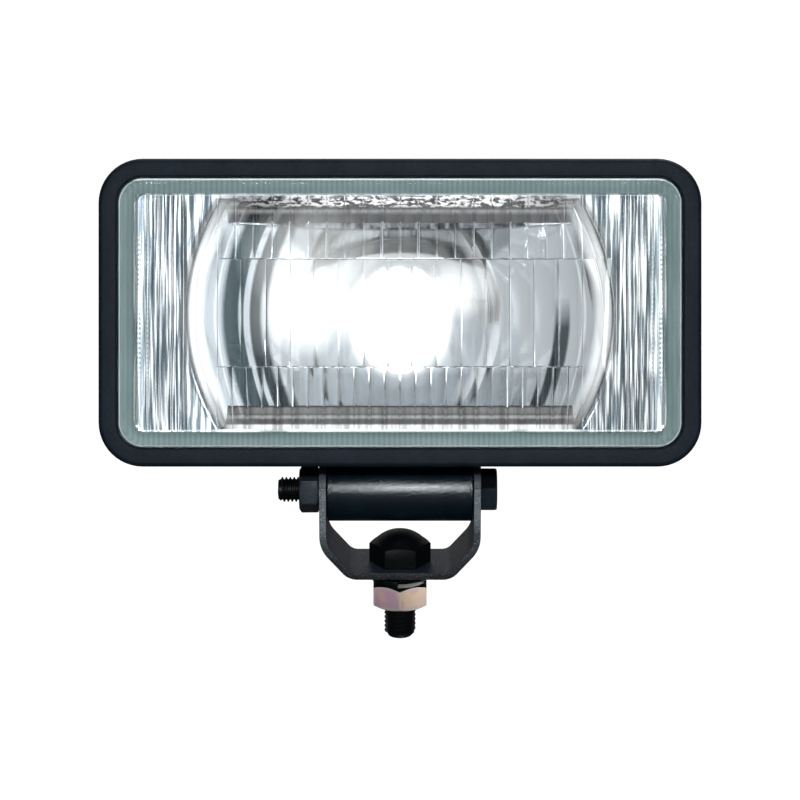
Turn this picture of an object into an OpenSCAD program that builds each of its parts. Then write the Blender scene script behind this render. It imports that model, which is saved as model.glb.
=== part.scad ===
// Rectangular fog lamp with a fluted glass front, tilting in a yoke with a threaded mounting stud.
// Millimetres, +Z up, the lamp faces -Y. The origin is on the stud's axis, under the mounting nut.

/* [Pose] */
// Nose-up angle of the lamp on its pivot at rest
rest_tilt = 16; // [0:1:30]

/* [Bezel] */
// Width over the bezel
bezel_w = 184; // [165:1:210]
// Height over the bezel
bezel_h = 94; // [88:1:110]
// Outer corner radius
bezel_r = 13.5; // [12.5:0.5:18]
// Depth of the side walls behind the front plane
bezel_depth = 20; // [19:0.5:26]
// Width of the front rim round the glass
bezel_rim = 5.65; // [5:0.05:6.5]
// Thickness of the side walls
bezel_wall = 2.4; // [1.8:0.1:2.8]
// Thickness of the front lip
bezel_lip = 2.2; // [1.8:0.1:3]
// Radius of the front outer edge
bezel_round = 1.4; // [0.6:0.1:1.8]
// Radius of the edge next to the glass
bezel_lip_round = 0.6; // [0.2:0.1:1]

/* [Lens] */
// How far the glass front sits behind the bezel's front plane
lens_recess = 0.5; // [0.2:0.1:0.8]
// Thickness of the fluted front plate
lens_plate = 3.6; // [2.8:0.1:5]
// Width of the glass skirt round the fluted window
lens_skirt = 4.6; // [3.5:0.1:5.5]
// Depth of the skirt's rear face behind the bezel's front plane
lens_depth = 12; // [10:0.5:14]
// Thickness of the flange behind the bezel lip
lens_flange = 2.8; // [2:0.1:3.6]
// Radius of the glass shoulder
lens_shoulder = 1.6; // [0.6:0.1:1.8]
// Depth of a flute
flute_cut = 0.6; // [0.3:0.05:1]
// Flat left between two flutes and round a zone
flute_land = 0.35; // [0.2:0.05:0.6]
// Half width of the three middle zones
zone_half_w = 56; // [40:1:60]
// Half height of the middle zone
zone_half_h = 16.5; // [12:0.5:20]
// Flutes across the middle zone
middle_flutes = 15; // [10:1:18]
// Flutes across the upper zone
upper_flutes = 20; // [12:1:24]
// Flutes across the lower zone
lower_flutes = 24; // [16:1:28]
// Distance from the middle to the inner edge of a side zone
side_from = 66; // [62:0.5:70]
// Flutes across each side zone
side_flutes = 4; // [3:1:6]

/* [Seals] */
// Thickness of the sealant bead behind the glass skirt
seal_t = 1.2; // [0.8:0.1:2]
// Thickness of the rubber gasket behind the glass flange
gasket_t = 1.2; // [0.8:0.1:2]

/* [Reflector] */
// Radius of the bowl at its mouth
bowl_r = 64.5; // [58:0.5:68]
// Focal length of the bowl
focal_length = 22; // [20.5:0.5:26]
// Wall of the reflector
reflector_wall = 1.4; // [1:0.1:1.8]
// Half height between the bowl's flat top and bottom
flat_half_h = 28.4; // [24:0.2:29]
// Depth of the bevel from the flats out to the mouth
bevel_depth = 6; // [4:0.5:8]
// Height left between the bevel and the glass window
bevel_margin = 0.8; // [0.4:0.1:1.5]
// Radius of the flat seat round the bulb
seat_r = 17; // [15:0.5:20]
// Radius of the lugs that hold the bulb clip
lug_r = 3.4; // [2.8:0.1:4]
// Distance of the lugs from the bulb's axis
lug_reach = 21; // [20:0.5:24]

/* [Bulb] */
// Distance from the bulb's flange to its filament
bulb_reach = 20; // [19.4:0.2:20.6]
// Radius of the glass capsule
capsule_r = 5.6; // [4.5:0.1:6.4]
// Length of the capsule in front of the filament
capsule_nose = 8.5; // [7:0.5:11]
// Wall of the capsule
capsule_wall = 0.9; // [0.6:0.1:1.2]
// Radius of the metal base
base_r = 7.8; // [7:0.1:8.6]
// Length of the metal base in front of its flange
base_l = 5; // [4:0.2:7]
// Radius of the base's flange
flange_r = 11; // [10:0.2:12.5]
// Thickness of the base's flange
flange_t = 1.2; // [0.8:0.1:1.6]
// Radius of the insulator behind the flange
insulator_r = 6.2; // [5:0.1:6.6]
// Length of the insulator
insulator_l = 6.5; // [5:0.5:8]
// Length of the insulator's straight part
insulator_straight = 3.9; // [3:0.1:4.6]
// Radius of the insulator's rear end
insulator_tip = 3.6; // [2.5:0.1:4.5]
// Length of the filament's coil
filament_l = 5; // [4:0.5:6]
// Radius of the filament's coil
filament_r = 0.8; // [0.5:0.1:1]
// Radius of the filament's posts
post_r = 0.35; // [0.25:0.05:0.5]
// Radius of the clip's spring wire
clip_wire_r = 0.7; // [0.5:0.1:0.9]
// Half distance between the clip's legs
clip_half = 7.6; // [7.4:0.1:8.4]
// Radius of the insulated lead
lead_r = 1.1; // [0.8:0.1:1.4]
// How far the lead runs across to its terminal
lead_reach = 20; // [18:0.5:24]
// How far the lead runs down behind the reflector
lead_drop = 17; // [15:0.5:19]
// How far the lead stands back from the insulator
lead_back = 6.5; // [5:0.5:8]
// Radius of the lead's terminal sleeve
terminal_r = 2.4; // [1.8:0.1:3]
// Radius of the sleeve's crimped end
terminal_tip = 1.6; // [1.5:0.1:1.8]
// Length of the lead's terminal sleeve
terminal_l = 13; // [10:1:16]
// Diameter of the clip's screw
clip_screw_d = 3; // [2.5:0.1:3.5]
// Height of the clip screw's head
clip_screw_head = 2.1; // [1.6:0.1:2.6]

/* [Housing] */
// Wall of the rear shell
housing_wall = 2.2; // [1.6:0.1:2.8]
// Step in from the collar to the shell
shell_step = 1.8; // [1.2:0.1:2.4]
// Width of the shell where its back starts to round
back_w = 134; // [124:1:146]
// Height of the shell where its back starts to round
back_h = 63; // [61:0.5:70]
// Corner radius of the shell's back
back_r = 20; // [14:1:24]
// Depth at which the back starts to round
back_start = 66; // [62:1:70]
// Depth of the shell's rear face
housing_back = 80; // [78:1:90]
// How far the rounding of the back draws the sides in
back_draw = 11; // [10:0.5:13]
// Slope at which the rounding of the back starts
round_start = 52; // [48:1:60]
// Depth of the bezel screws' axes behind the front plane
screw_depth = 17.3; // [16.6:0.1:17.8]
// Distance of the bezel screws from the middle
screw_half = 60; // [45:1:66]
// Diameter of a bezel screw
screw_d = 2.9; // [2.4:0.1:3.2]
// Length of a bezel screw
screw_l = 7.5; // [6:0.5:8]
// Depth of a bezel screw's countersunk head
screw_head = 1.6; // [1.2:0.1:1.7]

/* [Cable grommet] */
// Height of the grommet below the optical axis
grommet_drop = 10; // [6:0.5:14]
// Radius of the bore for the cable
grommet_bore = 3; // [2:0.1:3.6]
// Radius of the hole in the housing
grommet_neck = 5.2; // [4.6:0.1:6]
// Radius of the flanges
grommet_flange = 7.4; // [6.6:0.1:9]
// Thickness of a flange
grommet_t = 1.8; // [1.2:0.1:2.4]
// Length of the nozzle outside the housing
grommet_nozzle = 7; // [4:0.5:10]

/* [Pivot foot] */
// Distance of the pivot below the optical axis
pivot_drop = 55; // [53:0.5:62]
// Distance of the pivot behind the bezel's front plane
pivot_depth = 36; // [35:0.5:42]
// Diameter of the boss
boss_d = 20; // [17:0.5:21]
// Radius of the boss's end edges
boss_round = 1; // [0.4:0.1:1.6]
// Width of the plate on the housing
plate_w = 42; // [38:1:44]
// Length of the plate on the housing
plate_l = 30; // [28:1:31]
// Thickness of the plate on the housing
plate_t = 3; // [2:0.2:4]
// Corner radius of the plate
plate_r = 5; // [3:0.5:8]
// Width of the neck between plate and boss
neck_w = 36; // [30:1:38]
// Length of the neck at the plate
neck_l = 16; // [15:1:22]
// Length of the neck at the boss
neck_tip = 12.8; // [11:0.2:14]
// Height above the pivot at which the neck runs into the boss
neck_sink = 3; // [2:0.2:4]
// Half distance between the foot screws
foot_screw_half = 12; // [9:0.5:14]
// Diameter of a foot screw
foot_screw_d = 5; // [4:0.5:6]
// Length of a foot screw under its head
foot_screw_l = 10; // [8:0.5:12]
// Radius of a foot screw's head
foot_head_r = 4.75; // [4:0.05:5.2]
// Height of a foot screw's head
foot_head = 3.2; // [2.4:0.1:4]

/* [Yoke] */
// Outer width over the ears
yoke_w = 50.8; // [46:0.2:58]
// Width of the strap
strap_w = 24; // [20:0.5:28]
// Thickness of the strap
strap_t = 2.2; // [1.5:0.1:3]
// Height of the pivot above the floor's top
floor_drop = 24; // [22:0.5:30]
// Length of the flat floor between its bends
floor_flat = 27; // [24:0.2:29]
// Bend from the floor up to the shoulder
floor_bend = 48; // [42:1:54]
// Inside radius of the floor's bends
floor_bend_r = 4; // [2.5:0.5:6]
// Inside radius of the bends into the ears
ear_bend_r = 8; // [5:0.5:10]
// Extra radius of the ears' round tops over half the strap
ear_crown = 0.6; // [0.3:0.1:1.5]

/* [Cross bolt] */
// Thread diameter of the cross bolt
cross_d = 8; // [6:0.5:9]
// Thread pitch of the cross bolt
cross_pitch = 1.25; // [1:0.05:1.5]
// Width across flats of its head and nut
cross_af = 13; // [11:0.5:15]
// Height of its head
cross_head = 5.3; // [4:0.1:6.5]
// Thickness of its nut
cross_nut = 6.5; // [5:0.1:8]
// Length under its head
cross_l = 64; // [62:0.5:75]
// Turn of the nut on its thread
cross_nut_turn = 8; // [0:1:59]
// Turn of its head
cross_head_turn = 10; // [0:1:59]

/* [Mounting stud] */
// Thread diameter of the mounting bolt
stud_d = 10; // [8:0.5:12]
// Thread pitch of the mounting bolt
stud_pitch = 1.5; // [1.25:0.05:1.75]
// Width across flats of its head and nut
stud_af = 17; // [15:0.5:19]
// Height of its head
stud_head = 7; // [5:0.1:7.5]
// Height of the domed crown on its head
stud_crown = 3.5; // [2:0.1:4]
// Thickness of its nut
stud_nut = 8; // [6.5:0.1:10]
// Length under its head
stud_l = 25; // [22:0.5:35]
// Chamfer on the end of both bolts' threads
thread_chamfer = 1; // [0.6:0.1:1.4]
// Outer radius of the spring washer
washer_r = 9.05; // [8.4:0.05:10]
// Thickness of the spring washer's wire
washer_t = 2.2; // [1.8:0.1:2.8]
// How far the split ends stand apart
washer_open = 1.9; // [0.8:0.1:2.4]
// Half angle of the split
washer_split = 5; // [3:0.5:8]

/* [Clearances] */
// Play between parts that drop into each other
fit_gap = 0.2; // [0.1:0.05:0.3]
// Play round the glass
glass_gap = 0.3; // [0.2:0.05:0.5]
// Radial play of a bolt in its hole
bolt_gap = 0.25; // [0.15:0.05:0.5]
// Play between the boss and each ear
ear_gap = 0.3; // [0.2:0.05:0.6]
// Radial play between two engaged threads
thread_gap = 0.03; // [0.01:0.01:0.1]

/* [Hidden] */

$fn = 64;
slack = 1; // overshoot of a cutting tool
hair = 0.01; // thickness of a slab that only carries an outline
hull_fn = 32; // sides of a circle inside a hull
pitch_share = 0.6495; // share of the pitch between a thread's major and pitch diameters
end_share = 0.95; // share of the width across flats that stays flat on a hexagon's end
end_slope = 30; // slope of the eased corners

// Insets are measured inwards from the bezel's outer face, depths backwards from its front plane.
pad_inset = bezel_rim + glass_gap;
window_inset = pad_inset + lens_skirt;
flange_inset = bezel_wall + glass_gap;
collar_inset = bezel_wall + fit_gap;
shell_inset = collar_inset + shell_step;
shoulder_inset = window_inset - fit_gap;
window_w = bezel_w - 2 * window_inset;
window_h = bezel_h - 2 * window_inset;

flange_depth = bezel_lip + fit_gap;
gasket_depth = flange_depth + lens_flange;
collar_depth = gasket_depth + gasket_t;
plate_depth = lens_recess + lens_plate;
mouth_depth = lens_depth + seal_t;
shoulder_depth = mouth_depth + reflector_wall;
shell_start = shoulder_depth + reflector_wall;

function bowl_rise(r) = r * r / (4 * focal_length);
vertex_depth = mouth_depth + bowl_rise(bowl_r);
filament_depth = vertex_depth - focal_length;
bulb_seat = filament_depth + bulb_reach;
bulb_hole = base_r + fit_gap;
bevel_half_h = window_h / 2 - bevel_margin;
insulator_depth = bulb_seat + flange_t;
lead_depth = insulator_depth + insulator_l;
clip_depth = insulator_depth + clip_wire_r;
lug_depth = vertex_depth - bowl_rise(lug_reach) + 2 * reflector_wall + clip_wire_r;
lug_hole_depth = vertex_depth - bowl_rise(lug_reach - clip_screw_d / 2) + reflector_wall / 2;

shell_half_h = bezel_h / 2 - shell_inset;
shell_run = back_start - shell_start;
shell_slope = atan((shell_half_h - back_h / 2) / shell_run);
function shell_floor(depth) = -shell_half_h + (depth - shell_start) * tan(shell_slope);

boss_l = yoke_w - 2 * strap_t - 2 * ear_gap;
ear_r = strap_w / 2 + ear_crown;
washer_stack = washer_t + washer_open;
washer_bore = stud_d / 2 + fit_gap;
nut_top = stud_nut;
floor_z = nut_top + washer_stack;
head_z = floor_z + strap_t;
pivot_z = head_z + floor_drop;

floor_out = floor_bend_r + strap_t;
ear_out = ear_bend_r + strap_t;
shoulder_run = (yoke_w / 2 - floor_flat / 2 - floor_out * sin(floor_bend)
    - ear_out * (1 - sin(floor_bend))) / cos(floor_bend);
ear_start = floor_z + floor_out * (1 - cos(floor_bend)) + shoulder_run * sin(floor_bend)
    + ear_out * cos(floor_bend);

bezel_black = "#1b2533";
coat_black = "#15181b";
steel_black = "#202226";
bright = "#d6dadd";
rubber_black = "#101112";
sealant_grey = "#9eb3ad";
zinc_yellow = "#c3a070";
glass_green = [0.62, 0.74, 0.70, 0.55];

function unit(v) = v / norm(v);
function reversed(list) = [for (i = [len(list) - 1:-1:0]) list[i]];
function mirrored(list, axis) = [for (p = list) [for (k = [0:len(p) - 1]) k == axis ? -p[k] : p[k]]];
function arc(centre, r, from, to, steps = 5) =
    [for (i = [0:steps]) let (a = from + (to - from) * i / steps) centre + r * [cos(a), sin(a)]];
function pitch_r(d, pitch) = (d - pitch_share * pitch) / 2;

// The lamp is drawn face up: X across, Y up the face, Z out of the glass from the bezel's front plane.
module in_lamp() {
    translate([0, 0, pivot_z])
        rotate([90 - rest_tilt, 0, 0])
            translate([0, pivot_drop, pivot_depth])
                children();
}

// On the underside of the housing at a depth, with Z pointing out of the shell
module on_shell_floor(depth) {
    translate([0, shell_floor(depth), -depth])
        rotate([90 + shell_slope, 0, 0])
            children();
}

module rounded(w, h, r) {
    square([w - 2 * r, h], center = true);
    square([w, h - 2 * r], center = true);
    for (x = [-1, 1], y = [-1, 1])
        translate([x * (w / 2 - r), y * (h / 2 - r)])
            circle(r);
}

// A plate with the bezel's outline, drawn in by an inset, between two depths
module slab(inset, front, back) {
    translate([0, 0, -back])
        linear_extrude(back - front)
            rounded(bezel_w - 2 * inset, bezel_h - 2 * inset, bezel_r - inset);
}

// A section of [inset, depth] points swept round the bezel's outline
module rim_sweep(section) {
    outline = [for (p = section) [bezel_r - p[0], -p[1]]];
    half = [bezel_w / 2 - bezel_r, bezel_h / 2 - bezel_r];
    for (side = [0:3]) {
        out = half[side % 2];
        along = half[(side + 1) % 2];
        rotate(90 * side)
            translate([out, along, 0]) {
                rotate([90, 0, 0])
                    linear_extrude(2 * along)
                        polygon(outline);
                rotate_extrude(angle = 90)
                    polygon(outline);
            }
    }
}

function band(from, to, front, back) = [[from, front], [to, front], [to, back], [from, back]];

module bezel() {
    color(bezel_black) in_lamp()
        difference() {
            rim_sweep(concat(
                [[0, bezel_depth]],
                arc([bezel_round, bezel_round], bezel_round, 180, 270),
                arc([bezel_rim - bezel_lip_round, bezel_lip_round], bezel_lip_round, 270, 360, 3),
                [[bezel_rim, bezel_lip], [bezel_wall, bezel_lip], [bezel_wall, bezel_depth]]));
            at_bezel_screws()
                screw_shape(screw_d / 2 + fit_gap, fit_gap);
        }
}

// Vertical grooves side by side between two edges and two heights of the plate's rear face
module flutes(left, right, low, high, count) {
    pitch = (right - left) / count;
    half = (pitch - flute_land) / 2;
    r = (half * half + flute_cut * flute_cut) / (2 * flute_cut);
    for (i = [0:count - 1])
        translate([left + pitch * (i + 0.5), low, -plate_depth - r + flute_cut])
            rotate([-90, 0, 0])
                cylinder(r = r, h = high - low);
}

module lens() {
    edge_x = window_w / 2 - flute_land;
    edge_y = window_h / 2 - flute_land;
    step = flute_land / 2;
    shoulder = min(lens_shoulder, flange_depth - lens_recess);
    lap = (window_inset + bezel_r) / 2;
    color(glass_green) in_lamp()
        difference() {
            union() {
                rim_sweep(concat(
                    [[lap, plate_depth], [lap, lens_recess]],
                    arc([pad_inset + shoulder, lens_recess + shoulder], shoulder, 270, 180),
                    [[pad_inset, flange_depth], [flange_inset, flange_depth],
                    [flange_inset, gasket_depth], [pad_inset, gasket_depth], [pad_inset, lens_depth],
                    [window_inset, lens_depth], [window_inset, plate_depth]]));
                slab(window_inset, lens_recess, plate_depth);
            }
            flutes(-zone_half_w, zone_half_w, zone_half_h + step, edge_y, upper_flutes);
            flutes(-zone_half_w, zone_half_w, -zone_half_h + step, zone_half_h - step, middle_flutes);
            flutes(-zone_half_w, zone_half_w, -edge_y, -zone_half_h - step, lower_flutes);
            for (side = [0, 1])
                mirror([side, 0, 0])
                    flutes(side_from, edge_x, -edge_y, edge_y, side_flutes);
        }
}

module lens_seal() {
    color(sealant_grey) in_lamp()
        rim_sweep(band(pad_inset + fit_gap, window_inset - fit_gap, lens_depth, mouth_depth));
}

module unit_gasket() {
    color(rubber_black) in_lamp()
        rim_sweep(band(flange_inset, pad_inset - 2 * fit_gap, gasket_depth, collar_depth));
}

// The space in front of a paraboloid, moved back by a wall, from a depth
module bowl(wall, front) {
    steps = 24;
    r = bowl_r + wall;
    curve = [for (i = [0:steps]) let (x = r * i / steps) [x, bowl_rise(x) - vertex_depth - wall]];
    rotate_extrude($fn = 120)
        polygon(concat([[0, -front], [r, -front]], reversed(curve)));
}

// Prism across the lamp that cuts the bowl's flat top and bottom and their bevels
module flats(wall, front) {
    bevel_back = mouth_depth + bevel_depth + wall;
    half = flat_half_h + wall;
    upper = [[front, bevel_half_h], [mouth_depth + wall, bevel_half_h], [bevel_back, half],
        [vertex_depth + 2 * slack + wall, half]];
    rotate([0, 90, 0])
        linear_extrude(bezel_w, center = true)
            polygon(concat(upper, reversed(mirrored(upper, 1))));
}

module at_lugs() {
    for (side = [-1, 1])
        translate([side * lug_reach, 0, 0])
            children();
}

module reflector() {
    front = mouth_depth - slack;
    seat_front = bulb_seat - reflector_wall;
    lug_root = vertex_depth - bowl_rise(lug_reach + lug_r);
    rear = vertex_depth + reflector_wall + slack;
    color(bright) in_lamp()
        difference() {
            union() {
                slab(pad_inset, mouth_depth, shoulder_depth);
                intersection() {
                    bowl(reflector_wall, mouth_depth);
                    flats(reflector_wall, mouth_depth);
                }
                at_lugs()
                    translate([0, 0, -lug_depth])
                        cylinder(r = lug_r, h = lug_depth - lug_root);
            }
            difference() {
                intersection() {
                    bowl(0, front);
                    flats(0, front);
                }
                translate([0, 0, -vertex_depth - slack])
                    cylinder(r = seat_r, h = vertex_depth + slack - seat_front);
            }
            translate([0, 0, -rear])
                cylinder(r = flange_r + fit_gap, h = rear - bulb_seat);
            translate([0, 0, -rear])
                cylinder(r = seat_r, h = rear - insulator_depth);
            translate([0, 0, -bulb_seat - slack])
                cylinder(r = bulb_hole, h = reflector_wall + 2 * slack);
            translate([lug_reach, 0, -lug_depth - slack])
                cylinder(d = clip_screw_d + 2 * thread_gap, h = lug_depth + slack - lug_hole_depth);
        }
}

module shell_outline(w, h, r, depth) {
    translate([0, 0, -depth])
        linear_extrude(hair)
            rounded(w, h, r, $fn = hull_fn);
}

// Tapered shell with a rounded back, all its faces drawn in by a wall
module shell(front, wall) {
    reach = housing_back - wall - back_start;
    steps = 4;
    in = shell_inset + wall;
    hull() {
        shell_outline(bezel_w - 2 * in, bezel_h - 2 * in, bezel_r - in, front);
        for (i = [0:steps]) {
            turn = round_start + (90 - round_start) * i / steps;
            draw = wall + back_draw * (1 - cos(turn) / cos(round_start));
            shell_outline(back_w - 2 * draw, back_h - 2 * draw, back_r - draw / 2,
                back_start + reach * (sin(turn) - sin(round_start)) / (1 - sin(round_start)));
        }
    }
}

module housing() {
    color(coat_black) in_lamp()
        difference() {
            union() {
                slab(collar_inset, collar_depth, bezel_depth);
                shell(shell_start, 0);
            }
            slab(pad_inset - fit_gap, collar_depth - slack, shoulder_depth);
            slab(shoulder_inset, shoulder_depth - slack, bezel_depth + slack);
            shell(bezel_depth, housing_wall);
            at_bezel_screws()
                cylinder(r = screw_d / 2 + thread_gap, h = screw_l + fit_gap);
            at_foot_screws()
                translate([0, 0, -2 * housing_wall])
                    cylinder(d = foot_screw_d + 2 * bolt_gap, h = 3 * housing_wall);
            translate([0, -grommet_drop, -housing_back - slack])
                cylinder(r = grommet_neck + fit_gap, h = housing_wall + 2 * slack);
        }
}

// Each screw's head lies flush with the bezel's outer wall, and Z runs along the screw
module at_bezel_screws() {
    for (x = [-1, 1], y = [-1, 1])
        translate([x * screw_half, y * bezel_h / 2, -screw_depth])
            rotate([90 * y, 0, 0])
                children();
}

module screw_shape(r, play) {
    edge = r + screw_head;
    rotate_extrude()
        polygon([[0, -play], [edge, -play], [edge, 0], [r, screw_head], [r, screw_l], [0, screw_l]]);
}

module bezel_screws() {
    color(steel_black) in_lamp()
        at_bezel_screws()
            screw_shape(screw_d / 2, 0);
}

module cable_grommet() {
    inner = housing_wall + fit_gap;
    inner_flange = grommet_flange - grommet_t / 2;
    lip = grommet_neck - (grommet_neck - grommet_bore) / 3;
    color(rubber_black) in_lamp()
        translate([0, -grommet_drop, -housing_back])
            rotate([180, 0, 0])
                rotate_extrude()
                    polygon([[grommet_bore, -inner - grommet_t], [inner_flange, -inner - grommet_t],
                        [inner_flange, -inner], [grommet_neck, -inner], [grommet_neck, 0],
                        [grommet_flange, 0], [grommet_flange, grommet_t], [grommet_neck, 2 * grommet_t],
                        [lip, grommet_nozzle], [grommet_bore, grommet_nozzle]]);
}

module bulb_capsule() {
    root = bulb_seat - base_l;
    tip = filament_depth - capsule_nose;
    inner = capsule_r - capsule_wall;
    dome = tip + capsule_r;
    color([0.9, 0.93, 0.95, 0.4]) in_lamp()
        rotate_extrude()
            polygon(concat(
                [[inner, -root], [capsule_r, -root]],
                arc([0, -dome], capsule_r, 0, 90, 8),
                arc([0, -dome], inner, 90, 0, 8)));
}

module bulb_filament() {
    root = bulb_seat - base_l;
    color("#ffe9b0") in_lamp()
        union() {
            translate([0, 0, -filament_depth])
                rotate([0, 90, 0])
                    cylinder(r = filament_r, h = filament_l, center = true);
            for (side = [-1, 1])
                translate([side * (filament_l / 2 - 2 * post_r), 0, -root])
                    cylinder(r = post_r, h = root - filament_depth);
        }
}

module bulb_base() {
    color("#b9b4a6") in_lamp()
        rotate_extrude()
            polygon([[0, base_l - bulb_seat], [base_r, base_l - bulb_seat], [base_r, -bulb_seat],
                [flange_r, -bulb_seat], [flange_r, -insulator_depth], [0, -insulator_depth]]);
}

module bulb_insulator() {
    color("#2a2c30") in_lamp()
        rotate_extrude()
            polygon([[0, -insulator_depth], [insulator_r, -insulator_depth],
                [insulator_r, -insulator_depth - insulator_straight], [insulator_tip, -lead_depth],
                [0, -lead_depth]]);
}

// Round wire along points that never run the way of side
module wire(points, r, side, sides = 8) {
    last = len(points) - 1;
    rings = [for (i = [0:last])
        let (
            run = unit(points[min(i + 1, last)] - points[max(i - 1, 0)]),
            u = unit(cross(side, run)),
            v = cross(run, u))
        for (k = [0:sides - 1])
            let (a = 360 * k / sides)
            points[i] + r * (cos(a) * u + sin(a) * v)];
    skin = [for (i = [0:last - 1], k = [0:sides - 1])
        let (a = i * sides + k, b = i * sides + (k + 1) % sides)
        each [[a, b + sides, b], [a, a + sides, b + sides]]];
    start = [for (k = [1:sides - 2]) [0, k, k + 1]];
    end = [for (f = start) [for (k = [2, 1, 0]) f[k] + last * sides]];
    polyhedron(rings, concat(skin, start, end));
}

// The lead leaves the insulator straight back, bends down and runs across into its terminal: shares of
// its reach, drop and way back
lead_path = [[0, 0, 0], [0, 0, 0.3], [0.025, 0.04, 0.62], [0.09, 0.14, 0.86], [0.19, 0.32, 1],
    [0.3, 0.53, 1], [0.42, 0.74, 1], [0.55, 0.9, 1], [0.7, 0.98, 1], [0.85, 1, 1], [1, 1, 1]];
lead_points = [for (p = lead_path)
    [p[0] * lead_reach, -p[1] * lead_drop, -lead_depth - p[2] * lead_back]];

module bulb_lead() {
    color("#20242c") in_lamp()
        wire(lead_points, lead_r, [0.83, 0.55, 0]);
}

module lead_terminal() {
    start = lead_points[len(lead_points) - 1];
    color("#c9c3b2") in_lamp()
        translate(start)
            rotate([0, 90, 0])
                rotate_extrude()
                    polygon([[0, 0], [terminal_tip, 0], [terminal_r, 2 * (terminal_r - terminal_tip)],
                        [terminal_r, terminal_l], [0, terminal_l]]);
}

// A hairpin of spring wire from the screwed lug over the bulb's flange to the hook lug
module bulb_clip() {
    lug_wire = lug_depth + clip_wire_r;
    eye = clip_screw_d / 2 + clip_wire_r + thread_gap;
    bend = flange_r + clip_wire_r;
    hook = lug_reach + lug_r / 2;
    half = [
        [lug_reach - clip_wire_r, eye, lug_wire],
        [lug_reach - lug_r, eye + clip_wire_r, lug_wire],
        [bend, clip_half, clip_depth],
        [0, clip_half, clip_depth],
        [-bend, clip_half, clip_depth],
        [-lug_reach + lug_r, lug_r, lug_wire],
        [-hook + clip_wire_r, lug_r * 2 / 3, lug_wire],
        [-hook, lug_r / 4, lug_wire]];
    path = mirrored(half, 2);
    color("#9aa0a6") in_lamp()
        wire(concat(path, reversed(mirrored(path, 1))), clip_wire_r, [0, 0, 1]);
}

module clip_screw() {
    seat = lug_depth + 2 * clip_wire_r;
    tip = lug_hole_depth + fit_gap - seat;
    r = clip_screw_d / 2;
    color("#b7bbc0") in_lamp()
        translate([lug_reach, 0, -seat])
            rotate([180, 0, 0])
                rotate_extrude()
                    polygon([[0, tip], [r, tip], [r, 0], [2 * r, 0], [2 * r, clip_screw_head / 2],
                        [r, clip_screw_head], [0, clip_screw_head]]);
}

module at_foot_screws() {
    for (side = [-1, 1])
        on_shell_floor(pivot_depth)
            translate([side * foot_screw_half, 0, 0])
                children();
}

module pivot_foot() {
    plate_mid = plate_t / 2 / cos(shell_slope);
    neck_front = pivot_depth - neck_l / 2;
    neck_back = pivot_depth + neck_l / 2;
    r = boss_d / 2;
    color(coat_black) in_lamp()
        difference() {
            union() {
                on_shell_floor(pivot_depth)
                    linear_extrude(plate_t)
                        rounded(plate_w, plate_l, plate_r);
                rotate([0, 90, 0])
                    linear_extrude(neck_w, center = true)
                        polygon([[neck_front, shell_floor(neck_front) - plate_mid],
                            [neck_back, shell_floor(neck_back) - plate_mid],
                            [pivot_depth + neck_tip / 2, -pivot_drop + neck_sink],
                            [pivot_depth - neck_tip / 2, -pivot_drop + neck_sink]]);
                translate([0, -pivot_drop, -pivot_depth])
                    rotate([0, 90, 0])
                        translate([0, 0, -boss_l / 2])
                            rotate_extrude()
                                polygon(concat(
                                    [[0, 0]],
                                    arc([r - boss_round, boss_round], boss_round, 270, 360, 3),
                                    arc([r - boss_round, boss_l - boss_round], boss_round, 0, 90, 3),
                                    [[0, boss_l]]));
            }
            translate([0, -pivot_drop, -pivot_depth])
                rotate([0, 90, 0])
                    cylinder(d = cross_d + 2 * bolt_gap, h = boss_l + 2 * slack, center = true);
            at_foot_screws()
                translate([0, 0, -slack])
                    cylinder(d = foot_screw_d + 2 * thread_gap, h = foot_screw_l - housing_wall + 2 * slack);
        }
}

module foot_screws() {
    r = foot_screw_d / 2;
    color("#8f949a") in_lamp()
        at_foot_screws()
            translate([0, 0, -housing_wall / cos(shell_slope) - fit_gap])
                rotate_extrude()
                    polygon([[0, -foot_head], [r, -foot_head], [foot_head_r, -foot_head / 2],
                        [foot_head_r, 0], [r, 0], [r, foot_screw_l], [0, foot_screw_l]]);
}

// One face of the strap's right half, seen from the front, from the floor's middle to the ear's top
function strap_face(floor_r, ear_r_in) = concat(
    arc([floor_flat / 2, floor_z + floor_out], floor_r, -90, floor_bend - 90, 8),
    arc([yoke_w / 2 - ear_out, ear_start], ear_r_in, floor_bend - 90, 0, 8),
    [[yoke_w / 2 - ear_out + ear_r_in, pivot_z + ear_r]]);

module yoke() {
    outer = strap_face(floor_out, ear_out);
    inner = strap_face(floor_bend_r, ear_bend_r);
    right = concat(outer, reversed(inner));
    color(coat_black)
        difference() {
            intersection() {
                rotate([90, 0, 0])
                    linear_extrude(strap_w, center = true)
                        polygon(concat(right, reversed(mirrored(right, 0))));
                translate([0, 0, pivot_z])
                    rotate([90, 0, 90])
                        linear_extrude(yoke_w + 2 * slack, center = true)
                            union() {
                                circle(ear_r);
                                translate([-strap_w / 2 - slack, floor_z - pivot_z - slack])
                                    square([strap_w + 2 * slack, pivot_z - floor_z + slack]);
                            }
            }
            translate([0, 0, floor_z - slack])
                cylinder(d = stud_d + 2 * bolt_gap, h = strap_t + 2 * slack);
            translate([0, 0, pivot_z])
                rotate([0, 90, 0])
                    cylinder(d = cross_d + 2 * bolt_gap, h = yoke_w + 2 * slack, center = true);
        }
}

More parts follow.
